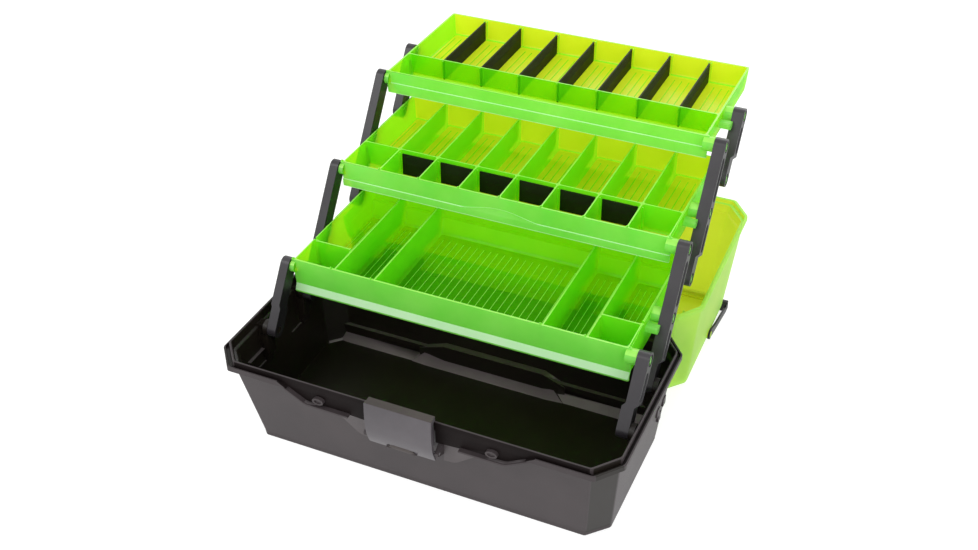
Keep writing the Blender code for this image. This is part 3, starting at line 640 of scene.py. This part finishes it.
def frosted(name, low, high, tint, see_through, inner_light=0.5, gloss=0.3, grain=0.25):
    """Translucent dyed plastic: part of the light glows through, part shows what is behind."""
    made, node, link, shader, tone = moulded(
        name, low, high, (0.35, 0.65), {"Scale": 14.0, "Detail": 4.0, "Roughness": 0.55},
        900.0, (gloss - 0.06, gloss + 0.06), (grain, 0.1 * MM))
    glow = node("BsdfTranslucent")
    link(tone.outputs["Color"], glow.inputs["Color"])
    body, whole = node("MixShader"), node("MixShader")
    body.inputs["Fac"].default_value = inner_light
    whole.inputs["Fac"].default_value = see_through
    clear = node("BsdfTransparent")
    clear.inputs["Color"].default_value = tint
    link(shader.outputs["BSDF"], body.inputs[1])
    link(glow.outputs["BSDF"], body.inputs[2])
    link(body.outputs["Shader"], whole.inputs[1])
    link(clear.outputs["BSDF"], whole.inputs[2])
    output = next(n for n in made.node_tree.nodes if n.type == "OUTPUT_MATERIAL")
    link(whole.outputs["Shader"], output.inputs["Surface"])
    return made


lid_lime = frosted("lid_lime", (0.46, 0.86, 0.14, 1), (0.54, 0.91, 0.2, 1), (0.95, 0.98, 0.5, 1),
                   0.26)
# Painted light: a yellower, lighter copy of the lime for the lid's inner faces, for light shining
# through the plastic.
lid_lit_through = frosted("lid_lit_through", (0.88, 0.76, 0.05, 1), (0.95, 0.81, 0.07, 1), (1, 0.96, 0.3, 1),
                   0.2)
# Painted shade: a deep green copy for the upright faces of the pocket walls inside the lid.
lid_pocket_shade = frosted("lid_pocket_shade", (0.03, 0.42, 0.01, 1), (0.05, 0.5, 0.015, 1), (0.3, 0.9, 0.1, 1), 0.2)


def swing(thing, degrees, pivot):
    """Turns a piece about an X axis through a point, positive from +Y towards +Z."""
    pick_nothing()
    thing.select_set(True)
    bpy.context.view_layer.objects.active = thing
    bpy.ops.object.mode_set(mode="EDIT")
    bpy.ops.mesh.select_all(action="SELECT")
    bpy.ops.transform.rotate(value=-radians(degrees), orient_axis="X", center_override=pivot)
    bpy.ops.object.mode_set(mode="OBJECT")


def lid_ring(z, half_x, front, back):
    return z * MM, (-half_x * MM, half_x * MM), (front * MM, back * MM)


def make_lid():
    """Shut, from the ceiling down the inside, round the stepped rim and up the outside."""
    rings = [lid_ring(228.6, 197, -67.4, 99), lid_ring(228.2, 200.5, -71.5, 103.2),
             lid_ring(226.5, 203, -74.4, 105.4), lid_ring(223, 204.4, -75.6, 106.4),
             lid_ring(150, 209.4, -98, 108.6), lid_ring(128, 211, -104.6, 109),
             lid_ring(126.6, 211.8, -107.6, 109.2), lid_ring(119.4, 212.6, -109.2, 109.4),
             lid_ring(118, 213, -109.6, 109.8), lid_ring(117.8, 215.8, -112.8, 112.8),
             lid_ring(113.2, 216, -113, 113), lid_ring(112.4, 216.5, -113.5, 113.5),
             lid_ring(112.4, 218.2, -115.2, 115.2), lid_ring(113, 219, -116, 116),
             lid_ring(117.2, 219, -116, 116), lid_ring(118.2, 218.4, -115.4, 115.4),
             lid_ring(118.8, 216.6, -113.4, 113.4), lid_ring(120, 215.6, -112.2, 112.4),
             lid_ring(126, 215, -111.2, 112), lid_ring(150, 213.2, -104.2, 111.4),
             lid_ring(224.6, 207.3, -78.6, 109.4), lid_ring(228.6, 206, -77, 108.2),
             lid_ring(230.4, 203.6, -74.6, 106), lid_ring(231, 200, -71, 102.6)]
    return loft_up("lid_tub", "z", rings, CORNER_CUT, 2.4 * MM)


def lid_ribs():
    """Bracing inside the shut lid: walls near the hinges and low ridges on the ends."""
    ribs = []
    for side in (-1, 1):
        x0, x1 = span(side, 160 * MM, 198 * MM)
        ribs.append(block("pocket_wall", (x0, 92 * MM, 132 * MM), (x1, 94 * MM, 200 * MM)))
        xs = span(side, 197 * MM, 199 * MM)
        ribs.append(loft_up("pocket_side", "y", [
            (y * MM, xs, (z * MM, 226 * MM))
            for y, z in ((97, 126), (92, 122), (84, 132), (72, 160), (62, 200))]))
        ribs.append(loft_up("pocket_arch", "x", [
            (side * x * MM, (84 * MM, 86 * MM), (z * MM, 226 * MM))
            for x, z in ((198, 134), (200.4, 142), (203, 144), (206.2, 130))]))
        for y0, y1, z0, z1 in ((-60, -20, 150, 190), (-20, 30, 190, 150)):
            rings = []
            for y, z in ((y0, z0), (y1, z1)):
                wall = 212 - (z - 119) * 0.066
                rings.append((y * MM, span(side, (wall - 3.2) * MM, wall * MM),
                              ((z - 0.7) * MM, (z + 0.7) * MM)))
            ribs.append(loft_up("end_ridge", "y", rings))
    for x in (-105, 0, 105):
        ribs.append(block("top_ridge", ((x - 0.8) * MM, -60 * MM, 226.8 * MM),
                          ((x + 0.8) * MM, 92 * MM, 229.6 * MM)))
    for y in (-62, -8, 46, 94):
        ribs.append(block("top_ridge", (-190 * MM, (y - 0.8) * MM, 226.8 * MM),
                          (190 * MM, (y + 0.8) * MM, 229.6 * MM)))
    return ribs


HANDLE_PIVOT = (0, 4 * MM, 222 * MM)


def lid_bosses():
    """Pads and stub pins on the lid's ends that carry the handle."""
    parts = []
    for side in (-1, 1):
        parts.append(peg("pad", "x", HANDLE_PIVOT, 5.6 * MM, *span(side, 205 * MM, 208.2 * MM)))
        parts.append(peg("stub", "x", HANDLE_PIVOT, 3.6 * MM, *span(side, 205 * MM, 211.2 * MM)))
    return parts


def is_inside_lid(centre, normal):
    """Inner faces: they look towards the lid's middle."""
    return (Vector((0, 10 * MM, 150 * MM)) - centre).dot(normal) > 0 and centre.z > 113 * MM


lid = make_lid()
fuse(lid, lid_ribs() + lid_bosses() + hinge_knuckles(1, ((-8.1, 8.1),)), "UNION")
soften(lid, 0.4 * MM, 38, 2, True)
lid.data.materials.append(lid_lime)
# Painted light on the lid's inner faces.
colour_inside(lid, lid_lit_through, is_inside_lid)
# Painted shade on the pocket walls' faces.
colour_inside(lid, lid_pocket_shade, lambda centre, normal: abs(normal.y) > 0.9
              and 91 * MM < centre.y < 95 * MM and abs(centre.x) > 158 * MM)
swing(lid, -LID_SWING, (0, HINGE_Y, HINGE_Z))
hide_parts("lid_shell")
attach(lid, "lid")


# Carry handle: a black bail moulded in one, with a thick ribbed grip. It hangs on stub
# pins at the lid's ends and, folded, props the open lid off the floor.
def make_handle():
    y, z = HANDLE_PIVOT[1:]
    bar_y, top = y - 74 * MM, LID_TOP + 12.1 * MM
    legs, holes = [], []
    for side in (-1, 1):
        xs = span(side, 208.4 * MM, 210.8 * MM)
        legs.append(loft_up("leg", "y", [(y + 5.6 * MM, xs, (z - 2.2 * MM, z + 2.2 * MM)),
                                         (y + 4.6 * MM, xs, (z - 4 * MM, z + 4 * MM)),
                                         (y + 2 * MM, xs, (z - 5.6 * MM, z + 5.6 * MM)),
                                         (y - 4 * MM, xs, (z - 5 * MM, z + 6 * MM)),
                                         (y - 24 * MM, xs, (z + 2 * MM, z + 10.6 * MM)),
                                         (bar_y + 2.4 * MM, xs, (top - 8 * MM, top)),
                                         (bar_y - 4.4 * MM, xs, (top - 7.6 * MM, top)),
                                         (bar_y - 6 * MM, xs, (top - 8 * MM, top - 1.6 * MM))]))
        holes.append(peg("hole", "x", HANDLE_PIVOT, 3.9 * MM, *span(side, 205 * MM, 216 * MM)))
    bar = loft_up("bar", "x", [(x * MM, (bar_y - 6 * MM, bar_y + 2.4 * MM), (231.8 * MM, top))
                               for x in (-210.7, 210.7)])
    handle = legs[0]
    fuse(handle, [legs[1], bar], "UNION")
    grooves = [block("groove", ((x - 1) * MM, bar_y - 9 * MM, top - 0.9 * MM),
                     ((x + 1) * MM, bar_y + 5 * MM, top + 9 * MM)) for x in range(-60, 61, 8)]
    fuse(handle, grooves + holes)
    handle.name = "handle_bail"
    soften(handle, 0.5 * MM, 40, 2, True)
    swing(handle, -LID_SWING, (0, HINGE_Y, HINGE_Z))
    return handle


handle_black = grained("handle_black", (0.008, 0.008, 0.009, 1), (0.013, 0.012, 0.013, 1), 0.45, 0.5,
                       0.3)
handle = make_handle()
handle.data.materials.append(handle_black)
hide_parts("carry_handle")
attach(handle, "handle")


# Three trays: thin frosted green mouldings, each with drafted cells, rounded corners, a
# stepped front and bosses with pin heads at their ends for the lifting arms.
TRAY_X, TRAY_DEEP, TRAY_SKIN, PITCH = 188 * MM, 175.5 * MM, 1.8 * MM, 47 * MM
TROUGH = 51.2 * MM
PIN_FIRST, PIN_SPACING, PIN_DROP = 1.5 * MM, 73.6 * MM, 9.3 * MM
TRAYS = {1: (4.27 * MM, 171.1 * MM, 43 * MM), 2: (117.34 * MM, 229.39 * MM, 32 * MM),
         3: (230.4 * MM, 287.68 * MM, 28 * MM)}
SHELL_STEPS = {
    1: ((0, 4.6, 4.6, 4.6), (0.2, 3.8, 3, 3.8), (0.9, 3.3, 1.4, 3.3), (2.6, 3, 0.5, 3),
        (3.4, 2.9, 0.7, 3), (10.6, 2.4, 4, 2.7), (11.4, 2.3, 4.2, 2.6), (43, 0, 0, 0)),
    2: ((0, 4.6, 4.6, 4.6), (0.2, 3.8, 3, 3.8), (0.9, 3.3, 1.4, 3.3), (2, 3, 0.9, 3),
        (8.8, 2.2, 1, 2.2), (9.6, 2.1, 1.3, 2.1), (10, 2.1, 2.3, 2.1), (32, 0, 0, 0)),
    3: ((0, 4.6, 4.6, 4.6), (0.2, 3.8, 3, 3.8), (0.9, 3.3, 1.2, 3.3), (1.8, 3, 0.8, 3),
        (12.6, 1.4, 0.5, 1.4), (13.4, 1.3, 0.7, 1.3), (13.9, 1.3, 1.8, 1.3), (28, 0, 0, 0)),
}
tray_green = frosted("tray_green", (0.22, 0.88, 0.02, 1), (0.3, 0.93, 0.035, 1),
                     (0.92, 0.98, 0.14, 1), 0.42)
# Painted shade: a darker, more see-through green for the lower tray's floor tops over the dark tub, and
# for dark lines on the upper tray's slot ribs.
tray_floor = frosted("tray_floor", (0.1, 0.7, 0.008, 1), (0.14, 0.76, 0.012, 1),
                     (0.85, 0.96, 0.08, 1), 0.6)
# Front and end faces: a coarser frosted outer finish, and a lighter, whiter colour as painted light
# falling on the fronts.
tray_frost = frosted("tray_frost", (0.27, 0.82, 0.12, 1), (0.36, 0.87, 0.18, 1),
                     (0.85, 0.95, 0.45, 1), 0.24, 0.4, 0.34)
# Painted light: a yellower, lighter copy of the green for the upper trays' floor tops and back walls,
# for light shining through them from behind.
tray_sunny = frosted("tray_sunny", (0.88, 0.76, 0.03, 1), (0.96, 0.82, 0.05, 1),
                     (1, 0.96, 0.15, 1), 0.28)
# Painted highlight: a lighter green for the top edges of the walls and the lower tray's floor ribs.
tray_edge = frosted("tray_edge", (0.42, 0.95, 0.13, 1), (0.5, 0.97, 0.18, 1), (0.95, 1, 0.5, 1), 0.1,
                    0.35, 0.25)
# Painted highlight: a near-white copy for the glossy strip on the lower tray's front step and the thin
# light lines at the upper trays' steps and bottom edges.
tray_glint = frosted("tray_glint", (0.6, 0.92, 0.55, 1), (0.7, 0.94, 0.66, 1), (0.95, 1, 0.8, 1), 0.08,
                     0.3, 0.16)


def shell_and_panel(level):
    """The tray's drafted outside, and its front wall, which reaches a little past the ends."""
    front, top, height = TRAYS[level]
    shell, panel = [], []
    for up, in_x, in_front, in_back in SHELL_STEPS[level]:
        z, face = top - height + up * MM, front + in_front * MM
        half = TRAY_X - (1.8 + 0.6 * in_x) * MM
        shell.append((z, (-half, half), (face, front + TRAY_DEEP - in_back * MM)))
        half = TRAY_X + (0.4 - 0.35 * in_x) * MM
        panel.append((z, (-half, half), (face, face + 3 * MM)))
    return (loft_up("tray_%d" % level, "z", shell, 0, 2.4 * MM, 3),
            loft_up("panel", "z", panel, 0, 0.8 * MM, 2))


def tray_cells(level):
    """Limits of each cell across and along, from the front wall's outside."""
    walls = [-TRAY_X + i * PITCH for i in range(9)]
    back, split = TRAY_DEEP, 45 * MM
    if level == 1:
        cells = [(walls[2], walls[6], 0, back)]
        for a, b in ((1, 2), (6, 7)):
            cells.append((walls[a], walls[b], 0, back))
        for a, b in ((0, 1), (7, 8)):
            cells += [(walls[a], walls[b], 0, split), (walls[a], walls[b], split, back)]
        return cells
    if level == 2:
        return [(a, b, *span) for a, b in zip(walls, walls[1:])
                for span in ((0, TROUGH), (TROUGH, back))]
    return [(walls[0], walls[8], 0, TROUGH), (walls[0], walls[8], TROUGH, back)]


def cell_cutter(level, cell):
    """Drafted pocket with a rounded foot; the lower tray's have a shelf at the back."""
    front, top, height = TRAYS[level]
    x0, x1, y0, y1 = cell
    at_left, at_right = x0 < -TRAY_X + MM, x1 > TRAY_X - MM
    at_front, at_back = y0 == 0, y1 == TRAY_DEEP
    end_skin, half_wall = TRAY_SKIN * 2, TRAY_SKIN * 0.4
    x0 += end_skin if at_left else half_wall
    x1 -= end_skin if at_right else half_wall
    y0 += front + (TRAY_SKIN if at_front else half_wall)
    y1 += front - (TRAY_SKIN if at_back else half_wall)
    floor = top - height + TRAY_SKIN
    draft, end_draft = 0.5 * MM, 2 * MM
    front_draft = 4.4 * MM if level == 1 else 2.4 * MM
    rings = []
    for up, inset in ((0, 4), (0.5, 2.2), (1.8, 0.7), (4, 0.25), (height / MM, 0)):
        part = 1 - up * MM / height
        shelf = 8 * MM if level == 1 and up < 5 else 0
        a = x0 + inset * MM + (end_draft if at_left else draft) * part
        b = x1 - inset * MM - (end_draft if at_right else draft) * part
        c = y0 + inset * MM + (front_draft if at_front else draft) * part
        d = y1 - inset * MM - (end_draft + shelf if at_back else draft) * part
        rings.append((floor + up * MM, (a, b), (c, d)))
        if level == 1 and at_back and up == 4:
            rings.append((floor + 19 * MM, (a, b), (c, d + 5 * MM)))
            rings.append((floor + 20.5 * MM, (a, b), (c, d + 9 * MM)))
    return loft_up("cell", "z", rings, 0, 2.4 * MM)


def top_dips(level):
    """Cuts in the walls' top edges: behind the front corners, and along the cross walls."""
    front, top = TRAYS[level][:2]
    cuts = []

    def dip(x, half, places):
        rings = [(front + y * MM, (x - half, x + half), (top - down * MM, top + 4 * MM))
                 for y, down in places]
        cuts.append(loft_up("dip", "y", rings))

    if level < 3:
        for side in (-1, 1):
            dip(side * TRAY_X, 2.6 * MM, ((3.4, 0.3), (5, 2.6), (9, 4.6), (24, 4.6), (27, 3.4),
                                          (30, 1.2), (33, 0.8), (88, 0.8), (90, 0.02)))
    if level == 1:
        for x in (-3, -2, 2, 3):
            dip(x * PITCH, 1.6 * MM, ((3, 0.6), (4.6, 3.4), (8, 5), (150, 5), (166, 3), (173, 0.5)))
        for side in (-1, 1):
            x0, x1 = span(side, 3 * PITCH, TRAY_X - 1.6 * MM)
            cuts.append(block("dip", (x0, front + 43 * MM, top - 3 * MM),
                              (x1, front + 47 * MM, top + 4 * MM)))
    return cuts


def horns(level):
    """Little peaks on the front edge, at the corners and over each cross wall."""
    if level == 3:
        return []
    front, top = TRAYS[level][:2]
    places = (-3, -2, 2, 3) if level == 1 else range(-3, 4)
    spots = [x * PITCH for x in places] + [side * (TRAY_X - 1.6 * MM) for side in (-1, 1)]
    peaks = []
    for x in spots:
        peaks.append(loft_up("horn", "z", [
            (top + up * MM, (x - half * MM, x + half * MM), (front + y0 * MM, front + y1 * MM))
            for up, half, y0, y1 in ((-6, 1, 1.2, 7), (-2, 0.9, 0.5, 4.2), (1, 0.8, 0.2, 2.6),
                                     (2.4, 0.5, 0.1, 1))]))
    return peaks


def floor_ribs(level):
    """Fine ribs standing on the cell floors."""
    front, top, height = TRAYS[level]
    floor = top - height + TRAY_SKIN
    half, tall = (0.35 * MM, 0.5 * MM) if level == 1 else (0.45 * MM, 0.6 * MM)
    ribs = []

    def rib(x, y0, y1):
        ribs.append(block("rib", (x - half, front + y0, floor - 0.5 * MM),
                          (x + half, front + y1, floor + tall)))

    if level == 1:
        for i in range(-10, 11):
            rib(i * 8.4 * MM, 16 * MM, 152 * MM)
        for side in (-1, 1):
            for i in range(5):
                rib(side * (2 * PITCH + (9 + i * 7.4) * MM), 16 * MM, 152 * MM)
                rib(side * (3 * PITCH + (9 + i * 6.8) * MM), 56 * MM, 152 * MM)
        return ribs
    for cell in range(8):
        middle = -TRAY_X + (cell + 0.5) * PITCH
        for step in (-1.5, -0.5, 0.5, 1.5):
            rib(middle + step * 8.6 * MM, TROUGH + 9 * MM, 160 * MM)
            if level == 3:
                rib(middle + step * 8.6 * MM, 9 * MM, TROUGH - 7 * MM)
    return ribs


def slot_ribs(level):
    """Upright ribs that hold the dividers' edges, and the nubs on the upper tray's wall."""
    front, top, height = TRAYS[level]
    low = top - height + 1 * MM
    wall = TROUGH / MM
    back = TRAY_DEEP / MM
    ribs = []

    def rib(x, half, y0, y1, bottom, down):
        ribs.append(block("slot", (x - half * MM, front + y0 * MM, bottom),
                          (x + half * MM, front + y1 * MM, top - down * MM)))

    for x in [place * PITCH for place in range(-3, 4)]:
        for side in (-1, 1):
            if level == 3:
                rib(x + side * 1.75 * MM, 0.6, wall - 0.2, wall + 2.4, low, 1.4)
                rib(x + side * 1.75 * MM, 0.6, back - 5.2, back - 1, low, 1.4)
            if level == 2:
                rib(x + side * 1.6 * MM, 1.1, 46.2, 47.3, low, 2)
        if level == 3:
            rib(x, 1, wall - 1.7, wall - 0.4, low, 1.2)
            rib(x + 4.9 * MM, 1.5, wall - 0.7, wall + 0.7, top - 2 * MM, 0.02)
    return ribs


def front_wave():
    """Raised arch in the step along the middle tray's front."""
    front, top, height = TRAYS[2]
    rings = []
    for i in range(13):
        x = (-47 + i * 8) * MM
        lift = 8 * sin(pi * i / 12) ** 1.6 * MM
        rings.append((x, (front + 1.15 * MM, front + 3.4 * MM),
                      (top - height + 6 * MM, top - height + 9.3 * MM + lift)))
    return loft_up("wave", "x", rings)


def end_fittings(level):
    """Bosses between the tray and its arms, pins with oblong heads, and the stop tabs."""
    front, top = TRAYS[level][:2]
    z = top - PIN_DROP
    parts = []
    for side in (-1, 1):
        for number in range(3 if level < 3 else 2):
            spot = (0, front + PIN_FIRST + number * PIN_SPACING, z)
            faces = ARM_FOOT_FACES if number == 2 else ARM_FACES
            face, out = faces[side][0] - 0.3 * MM, faces[side][1] - 1.2 * MM
            parts.append(peg("boss", "x", spot, (7.2 + 0.8 * side) * MM,
                             *span(side, 183.6 * MM, face), 40))
            parts.append(peg("pin", "x", spot, PIN_ROUND, *span(side, 187 * MM, out)))
            parts.append(peg("head", "x", spot, 3.4 * MM,
                             *span(side, out - 2 * MM, out + 0.9 * MM)))
            stretch((1, 0.8, 1.5), spot)
        y, z_tab = front + PIN_FIRST + PIN_SPACING - 18.3 * MM, z - 4.5 * MM
        xs = span(side, 183.8 * MM, ARM_FACES[side][0] + 3 * MM)
        parts.append(loft_up("tab", "x", [(x, (y - 5 * MM, y + 5 * MM),
                                           (z_tab - 3.8 * MM, z_tab + 3.8 * MM)) for x in xs],
                             0, 2.4 * MM))
    return parts


def make_tray(level):
    front, top, height = TRAYS[level]
    tray, panel = shell_and_panel(level)
    fuse(tray, [panel] + ([front_wave()] if level == 2 else []), "UNION")
    fuse(tray, [cell_cutter(level, cell) for cell in tray_cells(level)])
    for cut in top_dips(level):
        fuse(tray, [cut])
    added = floor_ribs(level) + slot_ribs(level) + horns(level) + end_fittings(level)
    fuse(tray, added, "UNION")
    soften(tray, 0.3 * MM, 40, 2, True)
    tray.data.materials.append(tray_green)
    # Front and end faces: frosted finish with painted light.
    colour_inside(tray, tray_frost, lambda centre, normal: centre.y < front + 4.4 * MM
                  and normal.y < -0.2 or abs(centre.x) > TRAY_X - 1.2 * MM)
    low = top - height
    # Painted highlight on upward-facing top edges and rib tops.
    colour_inside(tray, tray_edge, lambda centre, normal: normal.z > 0.6
                  and (centre.z > top - 7 * MM or level == 1
                       and low + TRAY_SKIN + 0.3 * MM < centre.z < low + TRAY_SKIN + MM))
    # Painted highlight along the front step and the bottom edge.
    glint = (3.3 * MM, 10.8 * MM) if level == 1 else (0.8 * MM, 2.2 * MM)
    colour_inside(tray, tray_glint, lambda centre, normal: normal.y < -0.6
                  and centre.y < front + 4.2 * MM and low + glint[0] < centre.z < low + glint[1])
    if level == 1:
        # Painted shade: the lower tray's floor tops darkened for the dark tub below.
        colour_inside(tray, tray_floor, lambda centre, normal: normal.z > 0.7
                      and low + MM < centre.z < low + TRAY_SKIN + 0.3 * MM)
    if level == 3:
        # Painted shade: dark lines on the slot ribs just in front of the upper tray's middle wall.
        colour_inside(tray, tray_floor, lambda centre, normal: abs(normal.z) < 0.3
                      and front + TROUGH - 1.8 * MM < centre.y < front + TROUGH - 0.85 * MM
                      and abs(centre.x) < 3.1 * PITCH)
    if level > 1:
        # Painted highlight on the narrow ledge tops of the upper trays' fronts.
        colour_inside(tray, tray_glint, lambda centre, normal: normal.z > 0.4
                      and centre.y < front + 3.4 * MM and low + 8 * MM < centre.z < low + 20 * MM)
        # Painted light on the floor tops and back walls.
        colour_inside(tray, tray_sunny, lambda centre, normal: normal.z > 0.7
                      and centre.z < low + TRAY_SKIN + 0.3 * MM
                      or normal.y < -0.7 and centre.y > front + TRAY_DEEP - 7 * MM)
    return tray


for level, node_name, body in ((1, "lower_tray", "tray_lower"), (2, "middle_tray", "tray_middle"),
                               (3, "upper_tray", "tray_upper")):
    tray = make_tray(level)
    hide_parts(node_name)
    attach(tray, body)


# Loose dividers: thin plates in a very dark olive plastic, slid down between the slot
# ribs. Their upper part has fine ridges, and their edges are eased.
divider_olive = grained("divider_olive", (0.006, 0.009, 0.003, 1), (0.011, 0.015, 0.005, 1), 0.5,
                        0.3, 0.14)


def make_divider(node_name, ridges_on):
    """Plate the size of its node, with ridges across one face near the top."""
    low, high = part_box(node_name)
    plate = block(node_name + "_plate", low, high)
    thin = "xyz".index(ridges_on)
    ridges = []
    for i in range(7):
        z = high.z - (2.2 + i * 1.5) * MM
        a, b = list(low), list(high)
        a[2], b[2] = z - 0.3 * MM, z + 0.3 * MM
        a[thin], b[thin] = low[thin] - 0.22 * MM, high[thin] + 0.22 * MM
        long = 1 - thin
        a[long], b[long] = low[long] + 2.4 * MM, high[long] - 2.4 * MM
        ridges.append(block("ridge", a, b))
    fuse(plate, ridges, "UNION")
    soften(plate, 0.2 * MM, 40, 2, True)
    plate.data.materials.append(divider_olive)
    return plate


for count, stem, axis, body in ((6, "middle_divider_", "y", "tray_middle"),
                                (7, "upper_divider_", "x", "tray_upper")):
    for number in range(1, count + 1):
        node_name = stem + str(number)
        plate = make_divider(node_name, axis)
        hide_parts(node_name)
        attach(plate, body)


# Lifting arms: black moulded bars, round-ended, each stepped inwards at its lower end.
# The outer side is hollowed between the pins, and the pin heads sit in round pockets.
ARM_SPACING, ARM_LEAN, ARM_HALF = 70.4 * MM, 55.9, 8.5 * MM
KNEE_LOW, KNEE_HIGH = 23 * MM, 26.4 * MM
arm_black = grained("arm_black", (0.018, 0.016, 0.019, 1), (0.03, 0.027, 0.031, 1), 0.34, 0.35)
# Painted shade: a darker copy of the arm black for the arms' side faces.
arm_side_shade = grained("arm_side_shade", (0.007, 0.007, 0.008, 1), (0.012, 0.011, 0.012, 1), 0.4, 0.3,
                    0.3)


def make_arm(name, side, pivot, spans, on_base):
    """Upright first, its lower pivot on the X axis, then leant over and set on its pivot."""
    length = spans * ARM_SPACING
    ends = [(-ARM_HALF * cos(pi / 2 * i / 7), max(ARM_HALF * sin(pi / 2 * i / 7), 1 * MM))
            for i in range(8)]
    low_x, high_x = ARM_FOOT_FACES[side], ARM_FACES[side]
    stations = [(u, v, low_x) for u, v in ends]
    stations += [(KNEE_LOW, ARM_HALF, low_x), (KNEE_HIGH, ARM_HALF, high_x)]
    stations += [(length - u, v, high_x) for u, v in reversed(ends)]
    arm = loft_up(name, "z", [(z, span(side, *xs), (-half, half)) for z, half, xs in stations])
    soften(arm, 1.2 * MM, 50, 3)
    tools = []
    for i in range(spans):
        start = i * ARM_SPACING + (KNEE_HIGH + 2 * MM if i == 0 else 12 * MM)
        end = (i + 1) * ARM_SPACING - 12 * MM
        xs = span(side, high_x[1] - 1.3 * MM, high_x[1] + 2 * MM)
        tools.append(loft_up("hollow", "z", [(start, xs, (-2 * MM, 2 * MM)),
                                             (start + 3 * MM, xs, (-5.2 * MM, 5.2 * MM)),
                                             (end - 3 * MM, xs, (-5.2 * MM, 5.2 * MM)),
                                             (end, xs, (-2 * MM, 2 * MM))]))
    for i in range(spans + 1):
        spot = (0, 0, i * ARM_SPACING)
        tools.append(peg("hole", "x", spot, 4 * MM, *span(side, 180 * MM, 215 * MM)))
        if i or not on_base:
            out = high_x[1] if i else low_x[1]
            tools.append(peg("pocket", "x", spot, 6.3 * MM,
                             *span(side, out - 1.3 * MM, out + 8 * MM), 40))
    fuse(arm, tools)
    soften(arm, 0.25 * MM, 50, 1, True)
    swing(arm, ARM_LEAN - 90, (0, 0, 0))
    bpy.ops.object.select_all(action="DESELECT")
    arm.select_set(True)
    arm.location = (0, *pivot)
    bpy.ops.object.transform_apply(location=True, rotation=True, scale=True)
    arm.data.materials.append(arm_black)
    # Painted shade on faces looking along X.
    colour_inside(arm, arm_side_shade, lambda centre, normal: abs(normal.x) > 0.6)
    return arm


def tray_pin(level, number):
    front, top = TRAYS[level][:2]
    return front + PIN_FIRST + number * PIN_SPACING, top - PIN_DROP


for stem, pivot, spans, on_base in (
        ("front_short_arm", (BASE_PIVOTS[0], PIVOT_Z), 1, True),
        ("front_long_arm", (BASE_PIVOTS[1], PIVOT_Z), 2, True),
        ("rear_long_arm", tray_pin(1, 2), 2, False),
        ("rear_short_arm", tray_pin(2, 2), 1, False)):
    for side, word in ((-1, "left"), (1, "right")):
        arm = make_arm(stem + "_" + word + "_bar", side, pivot, spans, on_base)
        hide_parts(stem + "_" + word)
        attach(arm, stem + "s")
